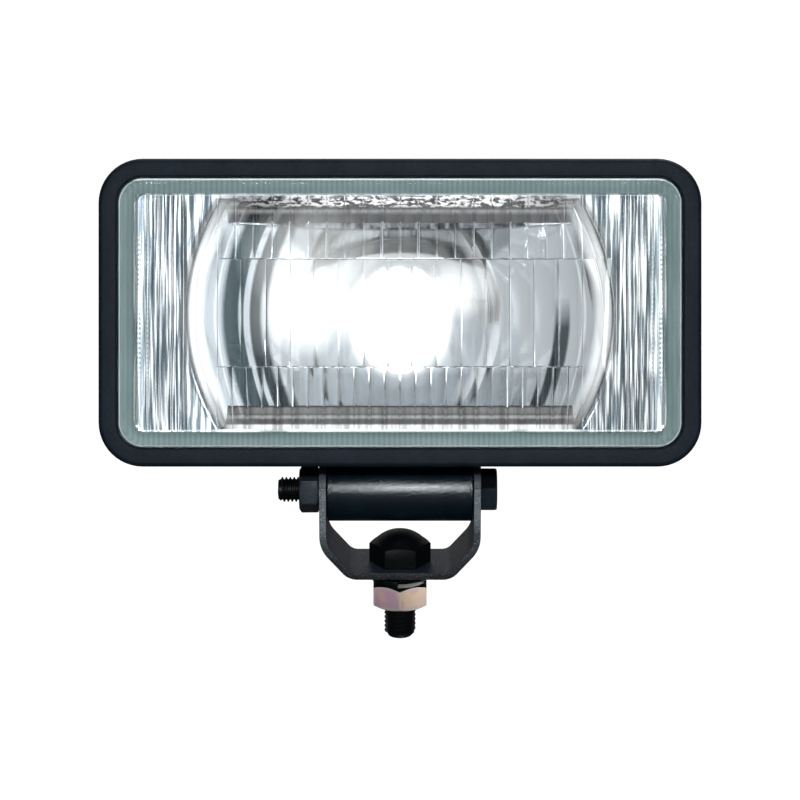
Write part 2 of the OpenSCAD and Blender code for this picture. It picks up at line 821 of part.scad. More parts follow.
// Hexagon with its corners eased on the top, and on the bottom too for a nut, under a domed crown if any
module hexagon(af, h, both, crown = 0) {
    corner = af / 2 / cos(30);
    outside = corner + slack;
    flat_r = af / 2 * end_share;
    ease = (outside - flat_r) * tan(end_slope);
    dome_r = crown > 0 ? (flat_r * flat_r + crown * crown) / (2 * crown) : 0;
    top = crown > 0
        ? arc([0, h + crown - dome_r], dome_r, acos(flat_r / dome_r), 90, 8)
        : [[flat_r, h], [0, h]];
    intersection() {
        cylinder(r = corner, h = h + crown, $fn = 6);
        rotate_extrude()
            polygon(concat([[0, 0], [both ? flat_r : outside, 0], [outside, both ? ease : 0],
                [outside, h - ease]], top));
    }
}

// Hex bolt with its head's seat at the origin and its thread running down; the stretch inside the nut,
// between two distances from the seat, is drawn at the thread's pitch radius
module hex_bolt(d, pitch, af, head, crown, length, nut_from, nut_to) {
    inner = pitch_r(d, pitch);
    r = d / 2;
    union() {
        hexagon(af, head, false, crown);
        rotate_extrude()
            polygon([[0, 0], [r, 0], [r, -nut_from], [inner, -nut_from], [inner, -nut_to], [r, -nut_to],
                [r, -length + thread_chamfer], [r - thread_chamfer, -length], [0, -length]]);
    }
}

module hex_nut(d, pitch, af, h) {
    difference() {
        hexagon(af, h, true);
        translate([0, 0, -slack])
            cylinder(r = pitch_r(d, pitch) + thread_gap, h = h + 2 * slack);
    }
}

module pivot_bolt() {
    color(steel_black)
        translate([yoke_w / 2, 0, pivot_z])
            rotate([0, 90, 0])
                rotate(cross_head_turn)
                    hex_bolt(cross_d, cross_pitch, cross_af, cross_head, 0, cross_l,
                        yoke_w, yoke_w + cross_nut);
}

module pivot_nut() {
    color(steel_black)
        translate([-yoke_w / 2, 0, pivot_z])
            rotate([0, -90, 0])
                rotate(cross_nut_turn)
                    hex_nut(cross_d, cross_pitch, cross_af, cross_nut);
}

module mount_bolt() {
    color(steel_black)
        translate([0, 0, head_z])
            hex_bolt(stud_d, stud_pitch, stud_af, stud_head, stud_crown, stud_l, head_z - nut_top, head_z);
}

// One turn of square wire, split at the front with the left end low
module spring_washer() {
    steps = 40;
    turn = 360 - 2 * washer_split;
    ring = [for (i = [0:steps])
        let (a = -90 + washer_split + turn * i / steps, z = floor_z - washer_open * i / steps)
        for (p = [[washer_bore, 0], [washer_r, 0], [washer_r, -washer_t], [washer_bore, -washer_t]])
            [p[0] * cos(a), p[0] * sin(a), z + p[1]]];
    sides = [for (i = [0:steps - 1], k = [0:3])
        let (a = 4 * i + k, b = 4 * i + (k + 1) % 4)
        each [[a, b, b + 4], [a, b + 4, a + 4]]];
    last = 4 * steps;
    ends = [[0, 2, 1], [0, 3, 2], [last, last + 1, last + 2], [last, last + 2, last + 3]];
    color(steel_black)
        polyhedron(ring, concat(sides, ends));
}

module mount_nut() {
    color(zinc_yellow)
        rotate(30)
            hex_nut(stud_d, stud_pitch, stud_af, stud_nut);
}

bezel();
lens();
lens_seal();
unit_gasket();
reflector();
housing();
bezel_screws();
cable_grommet();
bulb_capsule();
bulb_filament();
bulb_base();
bulb_insulator();
bulb_lead();
lead_terminal();
bulb_clip();
clip_screw();
pivot_foot();
foot_screws();
yoke();
pivot_bolt();
pivot_nut();
mount_bolt();
spring_washer();
mount_nut();
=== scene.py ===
import bpy
import math
from mathutils import Matrix, Vector


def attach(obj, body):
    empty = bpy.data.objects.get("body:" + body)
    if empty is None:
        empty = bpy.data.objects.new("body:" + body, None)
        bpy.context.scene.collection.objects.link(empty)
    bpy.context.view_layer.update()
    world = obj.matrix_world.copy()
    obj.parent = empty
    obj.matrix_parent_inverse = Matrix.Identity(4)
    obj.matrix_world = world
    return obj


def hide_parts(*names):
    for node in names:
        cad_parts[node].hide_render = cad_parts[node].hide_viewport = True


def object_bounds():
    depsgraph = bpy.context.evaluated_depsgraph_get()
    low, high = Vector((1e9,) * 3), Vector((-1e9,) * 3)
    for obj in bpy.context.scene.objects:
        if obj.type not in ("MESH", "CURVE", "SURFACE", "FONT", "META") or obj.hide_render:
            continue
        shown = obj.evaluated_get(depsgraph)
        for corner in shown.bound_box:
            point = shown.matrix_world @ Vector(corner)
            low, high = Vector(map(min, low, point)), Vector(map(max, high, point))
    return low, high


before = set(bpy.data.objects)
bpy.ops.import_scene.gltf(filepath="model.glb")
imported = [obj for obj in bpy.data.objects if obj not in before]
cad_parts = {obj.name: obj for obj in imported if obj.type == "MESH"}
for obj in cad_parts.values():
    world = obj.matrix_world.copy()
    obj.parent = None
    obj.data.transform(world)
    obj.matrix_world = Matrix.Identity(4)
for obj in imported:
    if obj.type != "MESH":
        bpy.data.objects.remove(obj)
cad_box = [list(corner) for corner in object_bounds()]

# Mounting bolt: a blackened steel bolt, cold headed to a hexagon with a turned crown, its thread rolled.
# The head lies in the yoke, and the thread that stands out below the nut is the stud that fixes the lamp.
mm = 0.001
nut_top, floor_z, head_z, pivot_z = 8 * mm, 12.1 * mm, 14.3 * mm, 38.3 * mm
stud_r, stud_pitch, stud_length = 5 * mm, 1.5 * mm, 25 * mm
stud_flats, stud_head, stud_crown, stud_turn = 17 * mm, 7 * mm, 3.5 * mm, math.radians(30)


def hold(*objs):
    """Selects these objects alone, the first one active."""
    if bpy.context.mode != "OBJECT":
        bpy.ops.object.mode_set(mode="OBJECT")
    bpy.ops.object.select_all(action="DESELECT")
    for obj in objs:
        obj.select_set(True)
    bpy.context.view_layer.objects.active = objs[0]


def named(name):
    """Names the object that was just added."""
    obj = bpy.context.object
    obj.name = obj.data.name = name
    return obj


def pick(obj, kind, test):
    """Opens obj in edit mode with those of a kind selected whose middle and normal, or way, pass a test."""
    hold(obj)
    bpy.ops.object.mode_set(mode="EDIT")
    bpy.ops.mesh.select_mode(type=kind)
    bpy.ops.mesh.select_all(action="DESELECT")
    bpy.ops.object.mode_set(mode="OBJECT")
    mesh = obj.data
    if kind == "VERT":
        for v in mesh.vertices:
            v.select = test(v.co, v.normal)
    elif kind == "EDGE":
        for e in mesh.edges:
            a, b = (mesh.vertices[i].co for i in e.vertices)
            e.select = test((a + b) / 2, (b - a).normalized())
    else:
        for f in mesh.polygons:
            f.select = test(f.center, f.normal)
    bpy.ops.object.mode_set(mode="EDIT")


def worked(obj, kind, **settings):
    """Puts a modifier on obj and applies it."""
    modifier = obj.modifiers.new(kind.lower(), kind)
    for key, value in settings.items():
        setattr(modifier, key, value)
    hold(obj)
    bpy.ops.object.modifier_apply(modifier=modifier.name)


def cut(obj, tool, operation="DIFFERENCE", keep=False):
    """Cuts obj with a tool, or joins or meets it with one."""
    worked(obj, "BOOLEAN", operation=operation, object=tool, solver="EXACT")
    if not keep:
        bpy.data.objects.remove(tool)


def outward(obj):
    """Merges doubles and turns all faces outwards."""
    pick(obj, "VERT", lambda co, normal: True)
    bpy.ops.mesh.remove_doubles(threshold=1e-6)
    bpy.ops.mesh.normals_make_consistent(inside=False)
    bpy.ops.object.mode_set(mode="OBJECT")


def smooth(obj, degrees=35):
    """Shades obj smooth, apart from the edges sharper than an angle."""
    hold(obj)
    bpy.ops.object.shade_smooth_by_angle(angle=math.radians(degrees))


def soften(obj, width, segments=2, degrees=30):
    """Rounds the sharp edges."""
    worked(obj, "BEVEL", width=width, segments=segments, limit_method="ANGLE",
           angle_limit=math.radians(degrees), use_clamp_overlap=True, harden_normals=False)


def place(obj, matrix):
    """Moves obj and leaves its place in its mesh."""
    obj.matrix_world = matrix @ obj.matrix_world
    hold(obj)
    bpy.ops.object.transform_apply(location=True, rotation=True, scale=True)


def disc(name, r, low, high, sides=96):
    """A round bar between two heights."""
    bpy.ops.mesh.primitive_cylinder_add(vertices=sides, radius=r, depth=high - low,
                                        location=(0, 0, (low + high) / 2))
    obj = named(name)
    place(obj, Matrix())
    return obj


def rolled_thread(name, r, pitch, length):
    """A threaded rod from z = 0 down to its chamfered end."""
    root, end_r, turn_steps = r - 0.6 * pitch, r - 0.9 * pitch, 40
    tooth = [(root, 0), (root, 0.18), (r, 0.5), (r, 0.64), (root, 1)]
    bpy.ops.mesh.primitive_circle_add(vertices=len(tooth), fill_type="NOTHING")
    rod = named(name)
    for v, (x, share) in zip(rod.data.vertices, tooth):
        v.co = (x, 0, share * pitch - length - pitch)
    middle = 0.5 * pitch - length - pitch
    pick(rod, "EDGE", lambda mid, way: mid.x < root + 1e-7 and abs(mid.z - middle) < 0.05 * pitch)
    bpy.ops.mesh.delete(type="EDGE")
    worked(rod, "SCREW", axis="Z", angle=2 * math.pi, screw_offset=pitch, iterations=int(length / pitch) + 3,
           steps=turn_steps, render_steps=turn_steps, use_merge_vertices=True, merge_threshold=1e-7)
    for height, below in ((-length, True), (0, False)):
        pick(rod, "VERT", lambda co, normal: True)
        bpy.ops.mesh.bisect(plane_co=(0, 0, height), plane_no=(0, 0, 1), use_fill=True, clear_inner=below,
                            clear_outer=not below)
    bpy.ops.object.mode_set(mode="OBJECT")
    for v in rod.data.vertices:
        limit = end_r + (v.co.z + length)
        away = math.hypot(v.co.x, v.co.y)
        if away > limit:
            v.co.x, v.co.y = v.co.x * limit / away, v.co.y * limit / away
    outward(rod)
    smooth(rod, 40)
    return rod


def hexagon(name, flats, height, both, dome=0):
    """A hexagon from z = 0 up, its corners turned off under the crown, or at both ends for a nut."""
    corner = flats / math.sqrt(3)
    crown = flats * 0.475
    ease = (corner - crown) * math.tan(math.radians(30))
    dome_r = (crown ** 2 + dome ** 2) / (2 * dome) if dome else 0
    dome_rings = 7 if dome else 0
    bpy.ops.mesh.primitive_cylinder_add(vertices=6, radius=corner, depth=height + dome,
                                        location=(0, 0, (height + dome) / 2))
    hexa = named(name)
    place(hexa, Matrix())
    blank = disc("turned_blank", corner * 1.001, 0, height, 120)
    for up in (1, 0) if both else (1,):
        pick(blank, "FACE", lambda mid, normal: normal.z > 0.9 if up else normal.z < -0.9)
        bpy.ops.mesh.inset(thickness=corner - crown)
        for i in range(dome_rings):
            bpy.ops.mesh.inset(thickness=crown / (dome_rings + 1))
        bpy.ops.object.mode_set(mode="OBJECT")
        for v in blank.data.vertices:
            end = v.co.z > height / 2 if up else v.co.z < height / 2
            away = math.hypot(v.co.x, v.co.y)
            if end and away > corner:
                v.co.z += -ease if up else ease
            elif end and dome:
                v.co.z += math.sqrt(dome_r ** 2 - away ** 2) - math.sqrt(dome_r ** 2 - crown ** 2)
    cut(hexa, blank, "INTERSECT")
    soften(hexa, 0.15 * mm, 2, 25)
    smooth(hexa, 30)
    return hexa


def finish(name, **sockets):
    """A new material and its shader, with plain values on the shader's own sockets."""
    made = bpy.data.materials.new(name)
    made.use_nodes = True
    shader = made.node_tree.nodes["Principled BSDF"]
    for key, value in sockets.items():
        shader.inputs[key.replace("_", " ")].default_value = value
    return made, shader


def add(tree, kind, settings=(), **inputs):
    """A node in a tree; an input is a value or another node's output."""
    node = tree.nodes.new(kind)
    for key, value in dict(settings).items():
        setattr(node, key, value)
    for key, value in inputs.items():
        numbered = key[0] == "i" and key[1:].isdigit()
        socket = node.inputs[int(key[1:]) if numbered else key.replace("_", " ")]
        if isinstance(value, bpy.types.NodeSocket):
            tree.links.new(value, socket)
        else:
            socket.default_value = value
    return node


def maths(tree, operation, *values):
    """The outcome of a sum on one or more values."""
    inputs = {f"i{n}": value for n, value in enumerate(values)}
    return add(tree, "ShaderNodeMath", {"operation": operation}, **inputs).outputs[0]


def mapped(tree, value, low, high, start, end):
    """A value's stretch from low to high, laid over the one from start to end."""
    return add(tree, "ShaderNodeMapRange", i0=value, i1=low, i2=high, i3=start, i4=end).outputs[0]


def noise(tree, at, scale, detail, **inputs):
    """The value of a noise at a place."""
    return add(tree, "ShaderNodeTexNoise", Vector=at, Scale=scale, Detail=detail, **inputs).outputs["Fac"]


def ramp(tree, source, stops):
    """A colour ramp from (place, grey or colour) stops."""
    node = tree.nodes.new("ShaderNodeValToRGB")
    tree.links.new(source, node.inputs[0])
    spots = node.color_ramp.elements
    while len(spots) < len(stops):
        spots.new(0.5)
    for spot, (where, tone) in zip(spots, stops):
        spot.position = where
        spot.color = (tone, tone, tone, 1) if isinstance(tone, (int, float)) else (*tone, 1)
    return node.outputs["Color"]


def dress(obj, *materials):
    """Gives obj these materials in place of its own."""
    obj.data.materials.clear()
    for made in materials:
        obj.data.materials.append(made)


# The grain of a cast, coated or moulded skin: a fine height, a broad drifting tone and small flecks.
skin = bpy.data.node_groups.new("skin_grain", "ShaderNodeTree")
skin.interface.new_socket("Grains per metre", in_out="INPUT", socket_type="NodeSocketFloat")
for socket in ("Height", "Tone", "Fleck"):
    skin.interface.new_socket(socket, in_out="OUTPUT", socket_type="NodeSocketFloat")
grains_in, skin_out = skin.nodes.new("NodeGroupInput").outputs[0], skin.nodes.new("NodeGroupOutput")
skin_at = add(skin, "ShaderNodeTexCoord").outputs["Object"]
tone_share = 0.07
skin_height = noise(skin, skin_at, grains_in, 3.0, Roughness=0.6)
skin_tone = noise(skin, skin_at, maths(skin, "MULTIPLY", grains_in, tone_share), 4.0)
skin_fleck = add(skin, "ShaderNodeTexVoronoi", Vector=skin_at, Scale=grains_in, Randomness=1.0)
for slot, made in enumerate((skin_height, skin_tone, skin_fleck.outputs["Distance"])):
    skin.links.new(made, skin_out.inputs[slot])


def grained(name, dark, light, rough, grains, depth, **sockets):
    """A skin with a grain: its colour and roughness drift, and its height stands up by a depth."""
    made, shader = finish(name, **sockets)
    tree = made.node_tree
    grain = add(tree, "ShaderNodeGroup", {"node_tree": skin}, Grains_per_metre=grains)
    colour = ramp(tree, grain.outputs["Tone"], [(0.3, dark), (0.7, light)])
    bump = add(tree, "ShaderNodeBump", Strength=1.0, Distance=depth, Height=grain.outputs["Height"])
    tree.links.new(colour, shader.inputs["Base Color"])
    tree.links.new(mapped(tree, grain.outputs["Fleck"], 0.0, 0.8, *rough), shader.inputs["Roughness"])
    tree.links.new(bump.outputs[0], shader.inputs["Normal"])
    return made


black_steel = grained("black_steel", (0.0015, 0.0018, 0.0026), (0.004, 0.0046, 0.0062), (0.32, 0.5),
                      900, 0.05 * mm, Metallic=0.1, Specular_IOR_Level=0.2)

mount_bolt = rolled_thread("mounting_bolt", stud_r, stud_pitch, stud_length)
mount_head = hexagon("mounting_bolt_head", stud_flats, stud_head, False, stud_crown)
place(mount_head, Matrix.Rotation(stud_turn, 4, "Z"))
hold(mount_bolt, mount_head)
bpy.ops.object.join()
place(mount_bolt, Matrix.Translation((0, 0, head_z)))
dress(mount_bolt, black_steel)
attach(mount_bolt, "mount")
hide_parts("mount_bolt")

# Spring washer: one turn of blackened flat spring wire, cut through and left open at the front.
# It lies between the yoke's floor and the mounting nut, the left end of its split standing lower.
washer_bore, washer_r, washer_t, washer_open = 5.2 * mm, 9.05 * mm, 2.2 * mm, 1.9 * mm
split_degrees, washer_steps = 5, 72
bpy.ops.mesh.primitive_plane_add(size=1)
washer = named("split_washer")
wire = ((washer_bore, -washer_t), (washer_r, -washer_t), (washer_bore, 0), (washer_r, 0))
for v, (x, z) in zip(washer.data.vertices, wire):
    v.co = (x, 0, z)
worked(washer, "SCREW", axis="Z", angle=math.radians(360 - 2 * split_degrees), screw_offset=-washer_open,
       iterations=1, steps=washer_steps, render_steps=washer_steps, use_merge_vertices=True,
       merge_threshold=1e-7)
pick(washer, "VERT", lambda co, normal: True)
bpy.ops.mesh.fill_holes(sides=4)
outward(washer)
soften(washer, 0.2 * mm, 2, 50)
smooth(washer, 40)
place(washer, Matrix.Translation((0, 0, floor_z)) @ Matrix.Rotation(math.radians(split_degrees - 90), 4, "Z"))
dress(washer, black_steel)
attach(washer, "mount")
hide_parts("spring_washer")

# Mounting nut: a steel hexagon nut in yellow zinc, whose passivation plays from gold to pink.
# It clamps what the lamp is fixed to, and its top side presses on the washer.
stud_bore, bore_over, bore_sides = 4.6 * mm, 1 * mm, 64
mount_nut = hexagon("mounting_nut", stud_flats, nut_top, True)
cut(mount_nut, disc("nut_bore", stud_bore, -bore_over, nut_top + bore_over, bore_sides))


def mixed(tree, blend, one, other, amount=1.0):
    """One tone with another blended into it."""
    settings = {"data_type": "RGBA", "blend_type": blend}
    return add(tree, "ShaderNodeMix", settings, i0=amount, i6=one, i7=other).outputs[2]


yellow_zinc, shader = finish("yellow_zinc", Metallic=0.25)
tree = yellow_zinc.node_tree
at = add(tree, "ShaderNodeTexCoord").outputs["Object"]
tint = ramp(tree, noise(tree, at, 120.0, 1.0, Roughness=0.4), [
    (0.34, (0.6, 0.46, 0.5)), (0.45, (0.74, 0.4, 0.53)), (0.53, (0.76, 0.48, 0.5)), (0.6, (0.86, 0.62, 0.42)),
    (0.72, (0.76, 0.56, 0.58))])
# The tone pales towards the nut's corners and towards its top and bottom ends.
spread = add(tree, "ShaderNodeSeparateXYZ", Vector=at)
bearing = maths(tree, "ARCTAN2", spread.outputs["X"], spread.outputs["Y"])
from_corner = maths(tree, "PINGPONG", bearing, math.pi / 6)
corner_near = mapped(tree, from_corner, 0.0, 0.25 * math.pi / 6, 1.0, 0.0)
from_middle = maths(tree, "ABSOLUTE", maths(tree, "SUBTRACT", spread.outputs["Z"], nut_top / 2))
end_near = maths(tree, "MULTIPLY", from_middle, 1.9 / nut_top)
edge_pale = ramp(tree, maths(tree, "MAXIMUM", corner_near, end_near), [(0.6, 0.0), (0.88, 1.0)])
paled = mixed(tree, "MIX", tint, (0.66, 0.64, 0.56, 1), edge_pale)
# Painted highlight: the tone is made up to 1.75 times brighter towards the nut's +X side.
lit_side = mapped(tree, spread.outputs["X"], 0.0, 6 * mm, 1.0, 1.75)
tree.links.new(mixed(tree, "MULTIPLY", paled, lit_side), shader.inputs["Base Color"])
spots = noise(tree, at, 1100.0, 3.0)
tree.links.new(mapped(tree, spots, 0.3, 0.7, 0.28, 0.44), shader.inputs["Roughness"])
bump = add(tree, "ShaderNodeBump", Strength=1.0, Distance=0.015 * mm, Height=spots)
tree.links.new(bump.outputs[0], shader.inputs["Normal"])
dress(mount_nut, yellow_zinc, black_steel)
# Painted shadow: the faces of the top chamfer take the black steel, standing in for the shade under the
# washer.
for f in mount_nut.data.polygons:
    f.material_index = 1 if f.center.z > nut_top / 2 and 0.3 < f.normal.z < 0.97 else 0
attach(mount_nut, "mount")
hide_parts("mount_nut")

# Yoke: a steel strap, sheared, drilled and bent to a floor, two sloping shoulders and two round-topped ears.
# It is powder coated black, thin on its rough sheared edges, and turns on the mounting bolt.
yoke_half, strap_half, strap_t, ear_r = 25.4 * mm, 12 * mm, 2.2 * mm, 12.6 * mm
floor_half, floor_bend, floor_out, ear_out = 13.5 * mm, math.radians(48), 6.2 * mm, 10.2 * mm
floor_hole, pivot_hole, bend_steps, strap_rows = 5.25 * mm, 4.25 * mm, 8, 25
shoulder = (yoke_half - floor_half - floor_out * math.sin(floor_bend)
            - ear_out * (1 - math.sin(floor_bend))) / math.cos(floor_bend)
ear_start = (floor_z + floor_out * (1 - math.cos(floor_bend)) + shoulder * math.sin(floor_bend)
             + ear_out * math.cos(floor_bend))
run = []
for i in range(1, bend_steps + 1):
    a = floor_bend * i / bend_steps
    run.append((floor_half + floor_out * math.sin(a), floor_z + floor_out * (1 - math.cos(a))))
for i in range(bend_steps + 1):
    a = floor_bend - math.pi / 2 + (math.pi / 2 - floor_bend) * i / bend_steps
    run.append((yoke_half - ear_out + ear_out * math.cos(a), ear_start + ear_out * math.sin(a)))
bpy.ops.mesh.primitive_grid_add(x_subdivisions=1, y_subdivisions=strap_rows - 1, size=1)
yoke = named("yoke_strap")
for v in yoke.data.vertices:
    v.co = ((v.co.x + 0.5) * floor_half, v.co.y * 2 * strap_half, floor_z)
lead = [v.index for v in yoke.data.vertices if v.co.x > floor_half - 1e-7]
for x, z in run + [(yoke_half, None)]:
    pick(yoke, "VERT", lambda co, normal: False)
    bpy.ops.object.mode_set(mode="OBJECT")
    for i in lead:
        yoke.data.vertices[i].select = True
    bpy.ops.object.mode_set(mode="EDIT")
    bpy.ops.mesh.extrude_region()
    bpy.ops.object.mode_set(mode="OBJECT")
    lead = [v.index for v in yoke.data.vertices][-strap_rows:]
    for v in [yoke.data.vertices[i] for i in lead]:
        ear_top = pivot_z + math.sqrt(ear_r ** 2 - v.co.y ** 2)
        v.co = (x, v.co.y, ear_top if z is None else z)
worked(yoke, "MIRROR", use_axis=(True, False, False), use_mirror_merge=True, merge_threshold=1e-6)
outward(yoke)
# The strap takes its thickness on its upper side, so the open sheet has to face down.
if next(f for f in yoke.data.polygons if abs(f.normal.z) > 0.99).normal.z > 0:
    pick(yoke, "FACE", lambda mid, normal: True)
    bpy.ops.mesh.flip_normals()
worked(yoke, "SOLIDIFY", thickness=strap_t, offset=-1, use_even_offset=True)
cut(yoke, disc("floor_hole", floor_hole, 0, head_z + 2 * mm, bore_sides))
ear_holes = disc("ear_holes", pivot_hole, -2 * yoke_half, 2 * yoke_half, bore_sides)
place(ear_holes, Matrix.Translation((0, 0, pivot_z)) @ Matrix.Rotation(math.pi / 2, 4, "Y"))
cut(yoke, ear_holes)
soften(yoke, 0.3 * mm, 3, 40)
smooth(yoke, 40)
powder_coat = grained("powder_coat", (0.013, 0.017, 0.031), (0.03, 0.036, 0.057), (0.34, 0.52),
                      1500, 0.12 * mm, Specular_IOR_Level=0.5)
sheared_edge = grained("sheared_edge", (0.05, 0.065, 0.08), (0.24, 0.28, 0.31), (0.3, 0.6),
                       1300, 0.3 * mm, Metallic=0.3)
tree = sheared_edge.node_tree
shader = tree.nodes["Principled BSDF"]
at = add(tree, "ShaderNodeTexCoord").outputs["Object"]
level = add(tree, "ShaderNodeSeparateXYZ", Vector=at).outputs["Z"]
# Painted shade: the edges darken towards the floor, down to 0.12 of their tone; light flecks are added to
# them first.
height_shade = mapped(tree, level, head_z + 4 * mm, pivot_z - 6 * mm, 0.12, 1.0)
edge_flecks = ramp(tree, noise(tree, at, 2600.0, 1.0), [(0.58, 0.0), (0.7, 0.3)])
coated = shader.inputs["Base Color"].links[0].from_socket
shade = mixed(tree, "MULTIPLY", mixed(tree, "ADD", coated, edge_flecks), height_shade)
tree.links.new(shade, shader.inputs["Base Color"])
dress(yoke, powder_coat, sheared_edge)
for f in yoke.data.polygons:
    f.material_index = 1 if abs(f.normal.y) > 0.95 else 0
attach(yoke, "bracket")
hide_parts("yoke")

# Cross bolt and its nut: a blackened hexagon bolt from the right ear through the boss to the nut on the left.
# Tightened, it clamps the ears on the boss and holds the lamp's tilt.
cross_r, cross_pitch, cross_length = 4 * mm, 1.25 * mm, 64 * mm
cross_flats, cross_head, cross_nut, cross_bore = 13 * mm, 5.3 * mm, 6.5 * mm, 3.55 * mm
cross_head_turn, cross_nut_turn = math.radians(-20), math.radians(-22)
toward_right = Matrix.Translation((yoke_half, 0, pivot_z)) @ Matrix.Rotation(math.pi / 2, 4, "Y")
toward_left = Matrix.Translation((-yoke_half, 0, pivot_z)) @ Matrix.Rotation(-math.pi / 2, 4, "Y")
cross_bolt = rolled_thread("cross_bolt", cross_r, cross_pitch, cross_length)
cross_bolt_head = hexagon("cross_bolt_head", cross_flats, cross_head, False)
place(cross_bolt_head, Matrix.Rotation(cross_head_turn, 4, "Z"))
hold(cross_bolt, cross_bolt_head)
bpy.ops.object.join()
place(cross_bolt, toward_right)
slate_steel = grained("slate_steel", (0.01, 0.018, 0.025), (0.024, 0.039, 0.05), (0.34, 0.55),
                      1200, 0.06 * mm, Metallic=0.4)
dress(cross_bolt, slate_steel, black_steel)
# Painted shadow: the head's upward facets take the black steel, a shaded copy of its slate finish; the
# thread's left half is black steel as well.
for f in cross_bolt.data.polygons:
    f.material_index = 1 if f.center.x > yoke_half and f.normal.z > 0.3 or f.center.x < 0 else 0
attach(cross_bolt, "bracket")
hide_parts("pivot_bolt")
cross_nut_piece = hexagon("cross_bolt_nut", cross_flats, cross_nut, True)
cut(cross_nut_piece, disc("nut_bore", cross_bore, -bore_over, cross_nut + bore_over, bore_sides))
place(cross_nut_piece, toward_left @ Matrix.Rotation(cross_nut_turn, 4, "Z"))
dress(cross_nut_piece, slate_steel)
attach(cross_nut_piece, "bracket")
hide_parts("pivot_nut")

# Pivot foot: a cast foot under the lamp, a plate on the housing that draws in to a neck and a drilled boss.
# It is painted a glossy black, and the boss turns between the ears on the cross bolt.
lamp_turn = math.radians(74)
boss_r, boss_half, pivot_drop, pivot_depth = 10 * mm, 22.9 * mm, 55 * mm, 36 * mm
in_lamp = (Matrix.Translation((0, 0, pivot_z)) @ Matrix.Rotation(lamp_turn, 4, "X")
           @ Matrix.Translation((0, pivot_drop, pivot_depth)))
shell_front, shell_length, shell_h, tail_h = 16 * mm, 50 * mm, 85.2 * mm, 63 * mm
shell_slope = math.atan((shell_h - tail_h) / 2 / shell_length)
plate_half, plate_length, plate_t, plate_corner = 21 * mm, 30 * mm, 3 * mm, 5 * mm
neck_half, neck_root, neck_tip, neck_into = 18 * mm, 8 * mm, 6.4 * mm, 3 * mm


def shell_floor(depth):
    """Height of the housing's underside at a depth behind the bezel's front."""
    return -shell_h / 2 + (depth - shell_front) * math.tan(shell_slope)


across_boss = Matrix.Translation((0, -pivot_drop, -pivot_depth)) @ Matrix.Rotation(math.pi / 2, 4, "Y")
foot = disc("pivot_foot_casting", boss_r, -boss_half, boss_half)
place(foot, across_boss)
bpy.ops.mesh.primitive_cube_add(size=1)
neck = named("neck")
for v in neck.data.vertices:
    at_root = v.co.y > 0
    depth = pivot_depth - math.copysign(neck_root if at_root else neck_tip, v.co.z)
    height = shell_floor(depth) - plate_t / 2 if at_root else -pivot_drop + neck_into
    v.co = (v.co.x * 2 * neck_half, height, -depth)
outward(neck)
bpy.ops.mesh.primitive_cube_add(size=1)
foot_plate = named("foot_plate")
for v in foot_plate.data.vertices:
    v.co = (v.co.x * 2 * plate_half, v.co.y * plate_length, (v.co.z + 0.5) * plate_t)
pick(foot_plate, "EDGE", lambda mid, way: abs(way.z) > 0.9)
bpy.ops.mesh.bevel(offset=plate_corner, segments=8)
place(foot_plate, Matrix.Translation((0, shell_floor(pivot_depth), -pivot_depth))
      @ Matrix.Rotation(math.pi / 2 + shell_slope, 4, "X"))
cut(foot, neck, "UNION")
cut(foot, foot_plate, "UNION")
boss_bore = disc("boss_bore", pivot_hole, -2 * boss_half, 2 * boss_half, bore_sides)
place(boss_bore, across_boss)
cut(foot, boss_bore)
soften(foot, 0.7 * mm, 3, 40)
smooth(foot, 35)
place(foot, in_lamp)
cast_coat = grained("cast_coat", (0.001, 0.006, 0.0105), (0.003, 0.011, 0.017), (0.15, 0.24),
                    1500, 0.13 * mm, Specular_IOR_Level=0.8)
dress(foot, cast_coat)
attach(foot, "lamp")
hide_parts("pivot_foot")

# Housing: the black moulded rear shell, a collar inside the bezel and a tapered body with a rounded back.
# It carries the foot below, and the lens unit is pressed into its mouth by the bezel.
bezel_w, bezel_h, bezel_r, bezel_depth = 184 * mm, 94 * mm, 13.5 * mm, 20 * mm
shell_w, shell_r, tail_w, tail_r = 175.2 * mm, 9.1 * mm, 134 * mm, 20 * mm
tail_draw, tail_depth, tail_turn, tail_steps = 11 * mm, 14 * mm, math.radians(52), 8
collar_in, collar_front, collar_lip, lip_depth, shell_wall = 2.6 * mm, 7.2 * mm, 8 * mm, 9 * mm, 2 * mm
corner_steps = 12


def loft(name, rings, closed=False, caps=False):
    """A rounded outline extruded through rings of (width, height, corner radius, depth) in the lamp."""
    count = 4 * (corner_steps + 1)

    def set_ring(first, ring):
        w, h, r, depth = ring
        for k in range(count):
            quarter, step = divmod(k, corner_steps + 1)
            a = math.pi / 2 * (quarter + step / corner_steps)
            cx = (w / 2 - r) * (1 if quarter in (0, 3) else -1)
            cy = (h / 2 - r) * (1 if quarter in (0, 1) else -1)
            obj.data.vertices[first + k].co = (cx + r * math.cos(a), cy + r * math.sin(a), -depth)

    def pick_rings(*spans):
        pick(obj, "EDGE", lambda mid, way: False)
        bpy.ops.object.mode_set(mode="OBJECT")
        for e in obj.data.edges:
            e.select = any(all(first <= i < first + count for i in e.vertices) for first in spans)
        bpy.ops.object.mode_set(mode="EDIT")

    bpy.ops.mesh.primitive_circle_add(vertices=count, fill_type="NGON" if caps else "NOTHING")
    obj = named(name)
    set_ring(0, rings[0])
    last = count * (len(rings) - 1)
    for n, ring in enumerate(rings[1:]):
        pick_rings(n * count)
        bpy.ops.mesh.extrude_edges_move()
        bpy.ops.object.mode_set(mode="OBJECT")
        set_ring((n + 1) * count, ring)
    if closed:
        pick_rings(0, last)
        bpy.ops.mesh.bridge_edge_loops()
    elif caps:
        pick_rings(last)
        bpy.ops.mesh.edge_face_add()
    outward(obj)
    return obj


